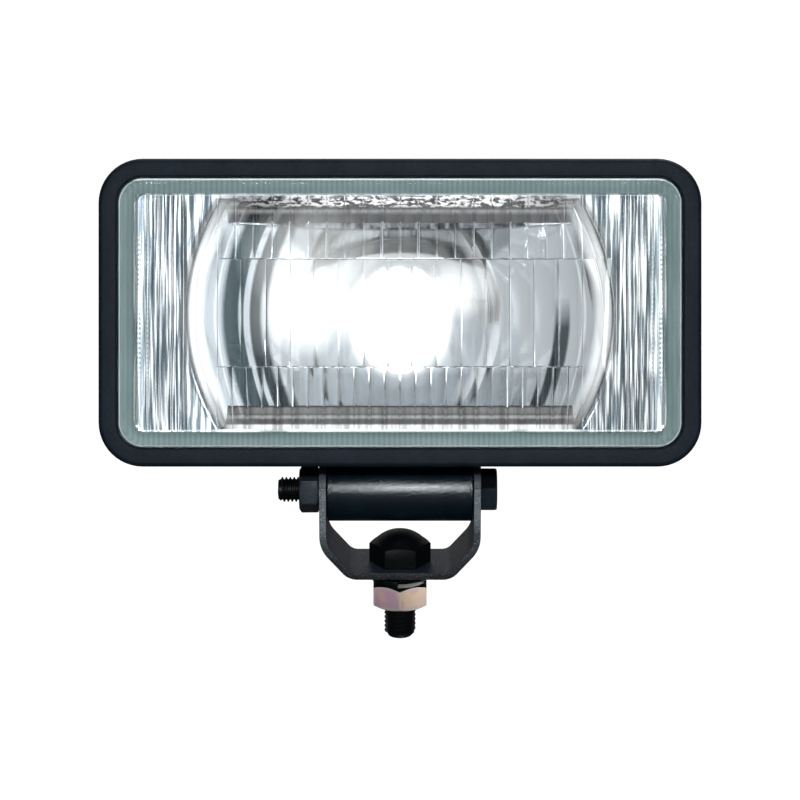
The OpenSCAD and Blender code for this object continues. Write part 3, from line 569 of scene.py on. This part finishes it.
def inset(step, depth):
    """The bezel's outline, drawn in by a step, at a depth."""
    return bezel_w - 2 * step, bezel_h - 2 * step, bezel_r - step, depth


def shell_ring(depth):
    """The outline of the shell's tapered part at a depth."""
    t = (depth - shell_front) / shell_length
    sizes = ((shell_w, tail_w), (shell_h, tail_h), (shell_r, tail_r))
    return *(front + (tail - front) * t for front, tail in sizes), depth


shell_end = shell_front + shell_length
shell_rings = [inset(collar_lip, lip_depth), inset(collar_in, collar_front), inset(collar_in, bezel_depth)]
shell_rings += [shell_ring(depth) for depth in (bezel_depth, 30 * mm, 45 * mm, 60 * mm, shell_end)]
for i in range(1, tail_steps + 1):
    a = tail_turn + (math.pi / 2 - tail_turn) * i / tail_steps
    draw = tail_draw * (1 - math.cos(a) / math.cos(tail_turn))
    back = shell_end + tail_depth * (math.sin(a) - math.sin(tail_turn)) / (1 - math.sin(tail_turn))
    shell_rings.append((tail_w - 2 * draw, tail_h - 2 * draw, tail_r - draw / 2, back))
housing = loft("housing_shell", shell_rings, caps=True)
pick(housing, "FACE", lambda mid, normal: mid.z > -lip_depth - 1 * mm and normal.z > 0.9)
bpy.ops.mesh.delete(type="FACE")
bpy.ops.object.mode_set(mode="OBJECT")
worked(housing, "SOLIDIFY", thickness=shell_wall, offset=-1, use_even_offset=True)
soften(housing, 0.5 * mm, 2, 40)
smooth(housing, 40)
place(housing, in_lamp)
shell_plastic = grained("shell_plastic", (0.014, 0.016, 0.02), (0.024, 0.027, 0.033), (0.42, 0.58),
                        1100, 0.1 * mm)
dress(housing, shell_plastic)
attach(housing, "lamp")
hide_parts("housing")

# Cable grommet and foot screws: a soft black rubber bush in the housing's back, two plated screws inside it.
# Both are plain turned forms, so the solids are kept and get their finish.
soft_rubber = grained("soft_rubber", (0.012, 0.012, 0.013), (0.022, 0.022, 0.024), (0.6, 0.8),
                      1400, 0.06 * mm, Specular_IOR_Level=0.35)
plated_steel = grained("plated_steel", (0.42, 0.44, 0.47), (0.58, 0.6, 0.63), (0.24, 0.4),
                       900, 0.03 * mm, Metallic=0.95)
dress(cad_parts["cable_grommet"], soft_rubber)
dress(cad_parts["foot_screws"], plated_steel)

# Reflector: a bright aluminised pressing, a paraboloid bowl cut off by a flat top and bottom, their mouths
# bevelled. Its plate is glued to the back of the glass, and a flat seat in its bottom takes the bulb.
focus, bowl_r, mouth, wall, plate_in = 22 * mm, 64.5 * mm, 13.2 * mm, 1.4 * mm, 5.95 * mm
vertex = mouth + bowl_r ** 2 / (4 * focus)
flat_half, bevel_half, bevel_depth = 28.4 * mm, 35.65 * mm, 6 * mm
seat_r, seat_front, bulb_hole, behind = 17 * mm, 57.075 * mm, 8 * mm, 9 * mm
bowl_steps, rim_steps, round_steps, bowl_over = 34, 9, 160, 4 * mm
rim_r, rim_slope = 6 * mm, math.atan(bowl_r / (2 * focus))
roll = rim_r * math.tan(rim_slope / 2)
curve = [(bowl_r - roll * math.cos(rim_slope)) * k / bowl_steps for k in range(bowl_steps + 1)]
curve = [(r, r * r / (4 * focus) - vertex) for r in curve]
for k in range(rim_steps + 1):
    a = rim_slope * (1 - k / rim_steps)
    curve.append((bowl_r + roll - rim_r * math.sin(a), -mouth - rim_r * (1 - math.cos(a))))
curve += [(bowl_r + roll, -mouth + bowl_over), (0, -mouth + bowl_over)]
bpy.ops.mesh.primitive_circle_add(vertices=len(curve), fill_type="NOTHING")
bowl = named("reflector_bowl")
for v, (r, z) in zip(bowl.data.vertices, curve):
    v.co = (r, 0, z)
pick(bowl, "EDGE", lambda mid, way: mid.x < 1e-7)
bpy.ops.mesh.delete(type="EDGE")
worked(bowl, "SCREW", axis="Z", angle=2 * math.pi, screw_offset=0, iterations=1, steps=round_steps,
       render_steps=round_steps, use_merge_vertices=True, merge_threshold=1e-6)
outward(bowl)
bpy.ops.mesh.primitive_circle_add(vertices=8, fill_type="NGON")
flats = named("flats")
half = [(bevel_half, bowl_over - mouth), (bevel_half, -mouth), (flat_half, -mouth - bevel_depth),
        (flat_half, -vertex - behind)]
for v, (y, z) in zip(flats.data.vertices, half + [(-y, z) for y, z in reversed(half)]):
    v.co = (-bezel_w / 2, y, z)
pick(flats, "FACE", lambda mid, normal: True)
bpy.ops.mesh.extrude_region_move(TRANSFORM_OT_translate={"value": (bezel_w, 0, 0)})
outward(flats)
cut(bowl, flats, "INTERSECT")
cut(bowl, disc("seat", seat_r, -vertex - 3 * mm, -seat_front))
reflector = loft("reflector_plate", [inset(plate_in, mouth), inset(plate_in, mouth + wall)], caps=True)
cut(reflector, bowl, keep=True)
pick(bowl, "FACE", lambda mid, normal: mid.z > -mouth + 0.05 * mm)
bpy.ops.mesh.delete(type="FACE")
pick(bowl, "FACE", lambda mid, normal: True)
bpy.ops.mesh.flip_normals()
worked(bowl, "SOLIDIFY", thickness=wall, offset=-1, use_even_offset=True)
cut(bowl, disc("bulb_hole", bulb_hole, -vertex - behind, -seat_front + 2 * mm))
hold(reflector, bowl)
bpy.ops.object.join()
smooth(reflector, 25)
place(reflector, in_lamp)


def lamp_place(tree, at, x=0, y=0, depth=0, reach=(1, 1, 1)):
    """A place as seen from a point of the lamp's frame, in shares of a reach."""
    return add(tree, "ShaderNodeMapping", {"vector_type": "TEXTURE"}, Vector=at,
               Location=in_lamp @ Vector((x, y, -depth)), Rotation=(lamp_turn, 0, 0), Scale=reach).outputs[0]


def length(tree, x, y):
    """The length of the line from the middle to x and y."""
    line = add(tree, "ShaderNodeCombineXYZ", X=x, Y=y)
    return add(tree, "ShaderNodeVectorMath", {"operation": "LENGTH"}, i0=line.outputs[0]).outputs["Value"]


def patch(tree, at, middle, reach, stops):
    """A tone round a point of the lamp, in millimetres; its stops run from the reach in to the point."""
    near = lamp_place(tree, at, *(size * mm for size in middle), [size * mm for size in reach])
    nearness = add(tree, "ShaderNodeTexGradient", {"gradient_type": "SPHERICAL"}, Vector=near)
    return ramp(tree, nearness.outputs["Fac"], stops)


view_x, view_y, view_rise, view_corner = 82.25 * mm, 36.8 * mm, 0.28 * mm, 4 * mm


def outline(tree, lamp_at):
    """How far a point lies outside the window's rounded outline, as it is seen through the glass."""
    spread, beyond = add(tree, "ShaderNodeSeparateXYZ", Vector=lamp_at), []
    for axis, middle, half in (("X", 0.0, view_x), ("Y", view_rise, view_y)):
        size = maths(tree, "ABSOLUTE", maths(tree, "SUBTRACT", spread.outputs[axis], middle))
        beyond.append(maths(tree, "MAXIMUM", maths(tree, "SUBTRACT", size, half - view_corner), 0.0))
    return maths(tree, "SUBTRACT", length(tree, *beyond), view_corner)


def span(tree, value, *stops):
    """A ramp over a length, its stops in millimetres."""
    low, high = stops[0][0], stops[-1][0]
    share = mapped(tree, value, low * mm, high * mm, 0.0, 1.0)
    return ramp(tree, share, [((where - low) / (high - low), tone) for where, tone in stops])


def blended(tree, blend, tone, *others):
    """Several tones blended in full, one after another."""
    for other in others:
        tone = mixed(tree, blend, tone, other)
    return tone


mirror_coat, shader = finish("mirror_coat", Metallic=1.0, Emission_Strength=1.0)
tree = mirror_coat.node_tree
at = add(tree, "ShaderNodeTexCoord").outputs["Object"]
ripple = noise(tree, at, 90.0, 1.0)
bump = add(tree, "ShaderNodeBump", Strength=1.0, Distance=0.02 * mm, Height=ripple)
tree.links.new(bump.outputs[0], shader.inputs["Normal"])
tree.links.new(mapped(tree, ripple, 0.3, 0.7, 0.03, 0.08), shader.inputs["Roughness"])
lamp_at = lamp_place(tree, at)
spread = add(tree, "ShaderNodeSeparateXYZ", Vector=lamp_at)
side, rise = spread.outputs["X"], spread.outputs["Y"]
radius = length(tree, side, rise)
window_edge = outline(tree, lamp_at)
direct = maths(tree, "LESS_THAN", add(tree, "ShaderNodeLightPath").outputs["Glossy Depth"], 0.5)

# The mirror's tint, with painted reflections: dark bands on the bowl's sides, streaks beside it, darker
# patches on the upper flat and low down, and a darker band at the plate's rim.
deep, sage, pale = (0.05, 0.075, 0.085), (0.08, 0.125, 0.14), (0.95, 0.97, 1.0)
slate = span(tree, radius, (42.5, 1.0), (44.2, deep), (47.5, deep), (48.4, pale), (50, pale), (50.6, sage),
             (55.2, sage), (56.8, pale))
on_left = mixed(tree, "MULTIPLY", span(tree, side, (-36, 1.0), (-28, 0.0)), direct)
tint = mixed(tree, "MULTIPLY", (0.86, 0.885, 0.91, 1), slate, on_left)
slit = span(tree, radius, (49.2, 1.0), (50.2, deep), (52.8, deep), (53.8, 1.0))
low_slit = blended(tree, "MULTIPLY", span(tree, side, (28, 0.0), (36, 1.0)),
                   span(tree, rise, (-4, 1.0), (6, 0.0)), direct)
tint = mixed(tree, "MULTIPLY", tint, slit, low_slit)
streak_at = add(tree, "ShaderNodeMapping", Vector=lamp_at, Scale=(820.0, 40.0, 0.0)).outputs[0]
streak = noise(tree, streak_at, 1.0, 2.5, Roughness=0.55)
streaks = ramp(tree, streak, [(0.38, (0.12, 0.17, 0.2)), (0.475, (0.42, 0.49, 0.54)), (0.545, 1.0)])
on_sides = span(tree, radius, (65.5, 0.0), (68, 1.0))
tint = mixed(tree, "MULTIPLY", tint, streaks, on_sides)
within = span(tree, side, (-55, 0.0), (-50, 1.0), (50, 1.0), (55, 0.0))
upper_flat = span(tree, rise, (27.6, 1.0), (28.4, (0.42, 0.4, 0.41)))
tint = mixed(tree, "MULTIPLY", tint, upper_flat, mixed(tree, "MULTIPLY", within, direct))
low_right = blended(tree, "MULTIPLY", span(tree, side, (-26, 0.0), (-8, 1.0)),
                    span(tree, rise, (-18.5, 1.0), (-15.5, 0.0)), direct)
tint = mixed(tree, "MULTIPLY", tint, (0.68, 0.69, 0.7, 1), low_right)
plate_rim = span(tree, window_edge, (-0.2, 1.0), (0.1, (0.24, 0.32, 0.31)))
tree.links.new(mixed(tree, "MULTIPLY", tint, plate_rim), shader.inputs["Base Color"])

# Painted light: the lit bulb's glare is given off by the mirror itself, in broad patches on the bowl, the
# rolled rim, and sparks along its edges, with a glow at the window's sides and a bright line round its
# outline.
bulb_glare = patch(tree, at, (0, -1, seat_front / mm), (24, 24, 30),
                   [(0.05, 0.0), (0.2, 0.12), (0.28, 0.4), (0.34, 2.2), (1.0, 3.0)])
side_glare = patch(tree, at, (-30, 2.5, 50), (23, 23, 40), [(0.0, 0.0), (0.3, 0.15), (0.65, 0.8), (1.0, 1.3)])
flare = patch(tree, at, (19, 9, 54), (13, 10, 30), [(0.0, 0.0), (0.5, 0.4), (1.0, 0.7)])
haze_glare = patch(tree, at, (-29, 20, 45), (26, 20, 45), [(0.0, 0.0), (0.5, 0.3), (1.0, 0.4)])
rim_glare = blended(
    tree, "MULTIPLY",
    span(tree, radius, (57.2, 0.0), (57.8, 0.4), (58.4, 0.0), (60.2, 0.0), (61.8, 0.75), (64.5, 0.9),
         (65.6, 0.0)),
    span(tree, side, (-50, 1.0), (-45, 0.0), (45, 0.0), (52, 0.7)),
    span(tree, rise, (-35, 0.1), (-20, 1.0), (20, 1.0), (35, 0.1)))
streak_glare = mixed(tree, "MULTIPLY", ramp(tree, streak, [(0.52, 0.0), (0.6, 0.7)]), on_sides)
margin_glow_tone = (0.3, 0.37, 0.41)
margin_glow = span(tree, side, (-79.5, margin_glow_tone), (-77.5, 0.0), (77.5, 0.0), (79.5, margin_glow_tone))
glint_at = add(tree, "ShaderNodeMapping", Vector=lamp_at, Scale=(420.0, 900.0, 900.0)).outputs[0]
glints = ramp(tree, noise(tree, glint_at, 1.0, 2.0), [(0.46, 0.0), (0.57, 1.1)])
lip_sparks = blended(tree, "MULTIPLY", glints,
                     span(tree, rise, (32.8, 0.0), (33.6, 0.9), (36, 1.0)),
                     span(tree, side, (-56, 0.0), (-20, 1.0), (30, 1.0), (56, 0.0)))
ledge = span(tree, rise, (-36.2, 0.0), (-35.6, 1.2), (-34.5, 1.2), (-34, 0.1), (-32.6, 0.1), (-32.2, 0.4),
             (-31.6, 0.4), (-31.2, 0.08), (-30.6, 0.22), (-29.2, 0.24), (-28.6, 0.0), (30.8, 0.0),
             (31.2, 0.12), (32, 0.3), (32.5, 0.04), (33, 0.0))
dash_at = add(tree, "ShaderNodeMapping", Vector=lamp_at, Scale=(330.0, 0.0, 0.0)).outputs[0]
dashes = ramp(tree, noise(tree, dash_at, 1.0, 2.0), [(0.4, 0.5), (0.56, 1.0)])
ledge_sparks = blended(tree, "MULTIPLY", ledge, dashes, within)
beads = add(tree, "ShaderNodeTexWave", {"wave_type": "BANDS", "bands_direction": "Y"}, Vector=lamp_at,
            Scale=207.0)
edge_sparks = blended(
    tree, "MULTIPLY",
    span(tree, side, (-84, 1.0), (-80.7, 1.0), (-80.4, 0.0), (80.4, 0.0), (80.7, 1.0), (84, 1.0)),
    span(tree, rise, (-24, 0.0), (-18, 1.0), (18, 1.0), (26, 0.0)),
    ramp(tree, beads.outputs["Fac"], [(0.35, 0.0), (0.6, 0.8)]))
seam_glare = mixed(tree, "MULTIPLY",
                   span(tree, radius, (28.5, 0.0), (29.5, 0.2), (30.5, 0.3), (32.6, 0.4), (33.1, 0.0)),
                   span(tree, side, (16, 0.0), (24, 1.0)))
arc_glare = mixed(tree, "MULTIPLY", span(tree, radius, (18.5, 0.0), (20.5, 0.12), (25, 0.12), (27.5, 0.0)),
                  span(tree, rise, (10, 0.0), (16, 1.0)))
glare = blended(tree, "ADD", bulb_glare, side_glare, flare, haze_glare, rim_glare, streak_glare, margin_glow,
                lip_sparks, ledge_sparks, edge_sparks, seam_glare, arc_glare)
glint_line_tone = (0.4, 0.46, 0.46)
inside = span(tree, window_edge, (-0.2, 1.0), (0.1, 0.0))
frame_glint = span(tree, window_edge, (-0.8, 0.0), (-0.5, glint_line_tone), (-0.2, glint_line_tone), (0, 0.0))
glare = mixed(tree, "ADD", mixed(tree, "MULTIPLY", glare, inside), frame_glint)
tree.links.new(mixed(tree, "MULTIPLY", glare, direct), shader.inputs["Emission Color"])
dress(reflector, mirror_coat)
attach(reflector, "lamp")
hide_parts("reflector")

# Bulb and its fixing: a clear capsule on a metal base, its lit filament at the bowl's focus, and a wire clip.
# Behind the reflector are the insulator, the lead in its sleeve, the brass terminal and the clip's screw.
white = (1, 1, 1, 1)
capsule_glass, _ = finish("capsule_glass", Base_Color=white, Roughness=0.0, IOR=1.07, Transmission_Weight=1.0)
lit_wire, shader = finish("lit_wire", Base_Color=(0.5, 0.55, 0.6, 1), Emission_Color=(0.94, 0.97, 1, 1))
tree = lit_wire.node_tree
mirrored = add(tree, "ShaderNodeLightPath").outputs["Glossy Depth"]
tree.links.new(mapped(tree, mirrored, 0.0, 1.0, 3.0, 0.32), shader.inputs["Emission Strength"])
# Painted light: the bulb's metal base glows with a strength of 2.5, though only the filament gives light.
glowing_base_metal = grained("glowing_base_metal", (0.5, 0.48, 0.44), (0.66, 0.64, 0.6), (0.2, 0.34), 700, 0.03 * mm,
                     Metallic=0.95, Emission_Color=(1, 0.98, 0.95, 1), Emission_Strength=2.5)
sleeve_plastic = grained("sleeve_plastic", (0.02, 0.022, 0.027), (0.04, 0.043, 0.05), (0.4, 0.55),
                         900, 0.04 * mm)
plain_brass = grained("plain_brass", (0.55, 0.45, 0.2), (0.7, 0.6, 0.32), (0.26, 0.4), 800, 0.03 * mm,
                      Metallic=0.95)
bulb_finishes = {"bulb_capsule": capsule_glass, "bulb_filament": lit_wire, "bulb_base": glowing_base_metal,
                 "bulb_insulator": sleeve_plastic, "bulb_lead": sleeve_plastic, "lead_terminal": plain_brass,
                 "bulb_clip": plated_steel, "clip_screw": plated_steel}
for node, made in bulb_finishes.items():
    dress(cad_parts[node], made)

# Sealant and gasket: a pale bead that bonds the glass skirt to the reflector's plate, seen through the glass,
# and a black rubber ring that seals the glass flange in the housing.
# The teeth of the skirt print fine ticks in the bead.
bead, shader = finish("bead", Roughness=0.5)
tree = bead.node_tree
at = add(tree, "ShaderNodeTexCoord").outputs["Object"]
ticks = add(tree, "ShaderNodeTexWave", {"wave_type": "BANDS", "bands_direction": "X"}, Vector=at, Scale=195.0,
            Distortion=0.4)
toned = ramp(tree, noise(tree, at, 55.0, 3.0), [(0.3, (0.6, 0.73, 0.74)), (0.7, (0.75, 0.87, 0.88))])
ticked = ramp(tree, ticks.outputs["Fac"], [(0.25, 0.84), (0.6, 1.0)])
depth_tone = span(tree, outline(tree, lamp_place(tree, at)), (0, (0.7, 0.74, 0.73)), (1.2, (0.8, 0.83, 0.82)),
                  (2.2, 1.0))
tree.links.new(blended(tree, "MULTIPLY", toned, ticked, depth_tone), shader.inputs["Base Color"])
dress(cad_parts["lens_seal"], bead)
dress(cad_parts["unit_gasket"], soft_rubber)

# Lens: a pan of pressed glass with a faint green body, a rounded shoulder, a flange and a deep skirt.
# The back of its window is pressed in upright flutes, in three zones one above another and one at each side.
window_x, window_y, zone_x, zone_y, side_x = 81.1 * mm, 36.1 * mm, 56 * mm, 16.5 * mm, 66 * mm
glass_front, glass_back, face_in, face_edge, window_in = 0.5 * mm, 4.1 * mm, 8.3 * mm, 7.6 * mm, 11.2 * mm
pan_r, pan_start, pan_steps = 1.6 * mm, 2.1 * mm, 8
flange_in, flange_front, flange_back = 2.7 * mm, 2.4 * mm, 5.2 * mm
skirt_in, skirt_end = 10.55 * mm, 12 * mm
pan = [inset(face_in, glass_front), inset(face_edge, glass_front)]
for i in range(pan_steps, 0, -1):
    a = math.pi / 2 * i / pan_steps
    pan.append(inset(plate_in + pan_r * (1 - math.cos(a)), pan_start - pan_r * math.sin(a)))
pan += [inset(plate_in, pan_start), inset(plate_in, flange_front), inset(flange_in, flange_front),
        inset(flange_in, flange_back), inset(plate_in, flange_back), inset(plate_in, skirt_end),
        inset(skirt_in, skirt_end), inset(skirt_in, glass_back), inset(window_in, glass_back)]
lens = loft("fluted_lens", pan, caps=True)
groups = [(-window_x, -side_x, None, 4, 0.25 * mm), (side_x, window_x, None, 4, 0.25 * mm),
          (-zone_x, zone_x, "upper", 20, 0.12 * mm), (-zone_x, zone_x, "middle", 15, 0.14 * mm),
          (-zone_x, zone_x, "lower", 24, 0.14 * mm)]
flute_steps, ridge_half, ridge_rise, least_step = 12, 0.22 * mm, 0.07 * mm, 0.02 * mm
columns = set()
for left, right, zone, count, deep in groups:
    for i in range(count * flute_steps + 1):
        columns.add(round(left + (right - left) * i / (count * flute_steps), 7))
    for i in range(count + 1):
        ridge = left + (right - left) * i / count
        columns.update(round(ridge + foot, 7) for foot in (-ridge_half, ridge_half))
columns = sorted(x for x in columns if -window_x <= x <= window_x)
columns = [x for i, x in enumerate(columns) if i == 0 or x - columns[i - 1] > least_step]
sills = [edge + foot for edge in (-zone_y, zone_y) for foot in (-ridge_half, 0, ridge_half)]
sills = [-window_y, *sills, window_y]


def flute(x, y):
    """How deep the flutes lie in the window's back at a point."""
    zone = "upper" if y > zone_y else "lower" if y < -zone_y else "middle"
    for left, right, where, count, deep in groups:
        if left <= x <= right and where in (None, zone):
            pitch = (right - left) / count
            t = (x - left) / pitch % 1
            on_sill = where and abs(abs(y) - zone_y) < ridge_half / 2
            on_ridge = on_sill or min(t, 1 - t) * pitch < ridge_half / 2
            return 0 if on_ridge else deep * (1 - (2 * t - 1) ** 2) + ridge_rise
    return 0


last_column, last_sill, press_over = len(columns) - 1, len(sills) - 1, 0.02 * mm
bpy.ops.mesh.primitive_grid_add(x_subdivisions=last_column, y_subdivisions=last_sill, size=1)
press = named("flute_press")
for v in press.data.vertices:
    x, y = columns[round((v.co.x + 0.5) * last_column)], sills[round((v.co.y + 0.5) * last_sill)]
    v.co = (x, y, -glass_back + flute(x, y) - press_over)
pick(press, "FACE", lambda mid, normal: True)
bpy.ops.mesh.extrude_region_move(TRANSFORM_OT_translate={"value": (0, 0, mm)})
bpy.ops.object.mode_set(mode="OBJECT")
for v in list(press.data.vertices)[len(columns) * len(sills):]:
    v.co.z = -glass_back - 2 * mm
outward(press)
cut(lens, press)
smooth(lens, 22)
pick(lens, "EDGE", lambda mid, way: abs(way.y) > 0.9 and abs(mid.z + glass_back) < 0.03 * mm
     and abs(mid.x) < window_x - 0.1 * mm)
bpy.ops.mesh.mark_sharp()
bpy.ops.object.mode_set(mode="OBJECT")
place(lens, in_lamp)
clear = {"Base_Color": white, "Roughness": 0.0, "IOR": 1.5, "Transmission_Weight": 1.0}
# Painted highlights: two copies of the clear glass give off a pale light, 0.5 on a band along the top of the
# shoulder and 0.2 on a ring round the shoulder.
glow_tone = (0.9, 1, 1, 1)
pressed_glass, _ = finish("pressed_glass", **clear)
lit_glass, _ = finish("lit_glass", Emission_Color=glow_tone, Emission_Strength=0.5, **clear)
glowing_rim_glass, _ = finish("glowing_rim_glass", Emission_Color=glow_tone, Emission_Strength=0.2, **clear)
tree = pressed_glass.node_tree
body = add(tree, "ShaderNodeVolumeAbsorption", Color=(0.1, 0.76, 0.75, 1), Density=9.0)
tree.links.new(body.outputs[0], tree.nodes["Material Output"].inputs["Volume"])
dress(lens, pressed_glass, lit_glass, glowing_rim_glass)
lit_low, lit_high, lit_depth, rim_near, rim_far = 40.3 * mm, 40.9 * mm, 2.2 * mm, 0.8 * mm, 1.2 * mm
to_lamp = in_lamp.inverted()
for f in lens.data.polygons:
    spot = to_lamp @ f.center
    on_top = lit_low < spot.y < lit_high and spot.z > -lit_depth
    f.material_index = 1 if on_top else 2 if -rim_far < spot.z < -rim_near else 0
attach(lens, "lamp")
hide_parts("lens")

# Bezel: the moulded black frame that holds the glass unit in the housing, satin with a fine eroded grain.
# Four countersunk screws go through its top and bottom walls into the housing's collar.
front_r, front_steps, lip_in, lip_r, lip_steps = 1.4 * mm, 8, 5.05 * mm, 0.6 * mm, 5
seat_depth, bezel_wall = 2.2 * mm, 2.4 * mm
bezel_rings = [inset(0, bezel_depth)]
for i in range(front_steps, -1, -1):
    a = math.pi / 2 * i / front_steps
    bezel_rings.append(inset(front_r * (1 - math.sin(a)), front_r * (1 - math.cos(a))))
for i in range(lip_steps + 1):
    a = math.pi / 2 * i / lip_steps
    bezel_rings.append(inset(lip_in + lip_r * math.sin(a), lip_r * (1 - math.cos(a))))
bezel_rings += [inset(lip_in + lip_r, seat_depth), inset(bezel_wall, seat_depth),
                inset(bezel_wall, bezel_depth)]
bezel = loft("bezel_frame", bezel_rings, closed=True)
smooth(bezel, 40)
place(bezel, in_lamp)
bezel_plastic = grained("bezel_plastic", (0.0048, 0.0098, 0.0165), (0.0085, 0.0155, 0.0255), (0.42, 0.55),
                        1700, 0.05 * mm, Specular_IOR_Level=0.09)
dress(bezel, bezel_plastic)
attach(bezel, "lamp")
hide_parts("bezel")
dress(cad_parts["bezel_screws"], black_steel)

# Studio: a pale floor under the stud and a soft white room whose panels the reflector and the glass mirror.
# A long light stands above the camera and a warmer one high behind the lamp. The camera faces it squarely.
bpy.ops.mesh.primitive_plane_add(size=12, location=(0, 0, cad_box[0][2]))
floor = named("studio_floor")
floor_white, shader = finish("floor_white", Base_Color=(0.05, 0.05, 0.05, 1), Roughness=0.9,
                             Emission_Color=white)
tree = floor_white.node_tree
path = add(tree, "ShaderNodeLightPath").outputs
shown = maths(tree, "MULTIPLY_ADD", path["Is Transmission Ray"], 0.6, path["Is Camera Ray"])
tree.links.new(shown, shader.inputs["Emission Strength"])
dress(floor, floor_white)

room = bpy.data.worlds.new("studio_room")
bpy.context.scene.world = room
room.use_nodes = True
tree = room.node_tree
split = add(tree, "ShaderNodeSeparateXYZ", Vector=add(tree, "ShaderNodeTexCoord").outputs["Generated"])
turn = maths(tree, "ARCTAN2", split.outputs["X"], maths(tree, "MULTIPLY", split.outputs["Y"], -1.0))
across = mapped(tree, turn, -math.pi, math.pi, 0.0, 1.0)
height = mapped(tree, split.outputs["Z"], -1.0, 1.0, 0.0, 1.0)


def round_room(*stops):
    """A tone round the room, its stops in degrees from the camera's side."""
    return ramp(tree, across, [(0.5 + turned / 360, tone) for turned, tone in stops])


panels = round_room(
    (-180, 0.12), (-95, 0.15), (-75, 0.7), (-40, 0.85), (-32, 0.1), (-27, 0.1), (-24, 1.1), (-19, 1.1),
    (-17.5, 0.1), (-15, 0.1), (-14, 1.2), (-12.5, 1.2), (-11.5, 0.12), (-9.5, 0.12), (-8.5, 1.3), (-1, 1.2),
    (1, 0.8), (8.5, 0.7), (9.5, 0.12), (11.5, 0.12), (12.5, 1.2), (14, 1.2), (15, 0.1), (17.5, 0.1),
    (19, 1.1), (27, 0.1), (40, 1.0), (50, 1.4), (70, 1.4), (85, 0.2), (180, 0.12))
storeys = ramp(tree, height, [(0.45, 0.3), (0.53, 1.0), (0.7, 1.0), (0.8, 0.6), (1.0, 0.7)])
walls = round_room((-165, 0.6), (-125, 0.35), (-95, 0.0), (95, 0.0), (125, 0.28), (165, 0.45))
wall_rise = ramp(tree, height, [(0.42, 0.1), (0.56, 0.55), (0.75, 1.0), (0.95, 1.3)])
path = add(tree, "ShaderNodeLightPath").outputs
dimmed = mapped(tree, path["Is Transmission Ray"], 0.0, 1.0, 0.27, 1.0)
black = (0, 0, 0, 1)
rear_glow = mixed(tree, "MIX", mixed(tree, "MULTIPLY", walls, wall_rise), black, path["Is Transmission Ray"])
lit = mixed(tree, "ADD", blended(tree, "MULTIPLY", panels, storeys, dimmed), rear_glow)
backdrop = mixed(tree, "MIX", lit, (0.95, 0.95, 0.95, 1), path["Is Camera Ray"])
tree.links.new(backdrop, tree.nodes["Background"].inputs["Color"])
tree.nodes["Background"].inputs["Strength"].default_value = 0.9


def soft_light(name, where, toward, size, energy, colour):
    """An oblong area light that faces a point."""
    bpy.ops.object.light_add(type="AREA", location=where)
    light = named(name)
    light.data.shape = "RECTANGLE"
    light.data.size, light.data.size_y = size
    light.data.energy, light.data.color = energy, colour
    light.rotation_euler = (Vector(toward) - light.location).to_track_quat("-Z", "Y").to_euler()


soft_light("key_light", (0.12, -2.75, 1.234), (0, 0, 0.05), (1.2, 0.1), 57, (0.92, 0.97, 1))
soft_light("rear_light", (0.5, 1.1, 2.3), (0, 0.04, 0.09), (1.4, 0.5), 62, (1, 0.96, 0.89))

camera_away, camera_drop, view_w, sensor_w = 860 * mm, 26.65 * mm, 243.7 * mm, 36
bpy.ops.object.camera_add()
camera = named("camera")
camera.location = in_lamp @ Vector((0, -camera_drop, camera_away))
camera.rotation_euler = (lamp_turn, 0, 0)
camera.data.sensor_width = sensor_w
camera.data.lens = sensor_w * camera_away / view_w
camera.data.clip_start = 0.01
bpy.context.scene.camera = camera
bpy.context.scene.view_settings.view_transform = "Standard"

bpy.context.view_layer.update()
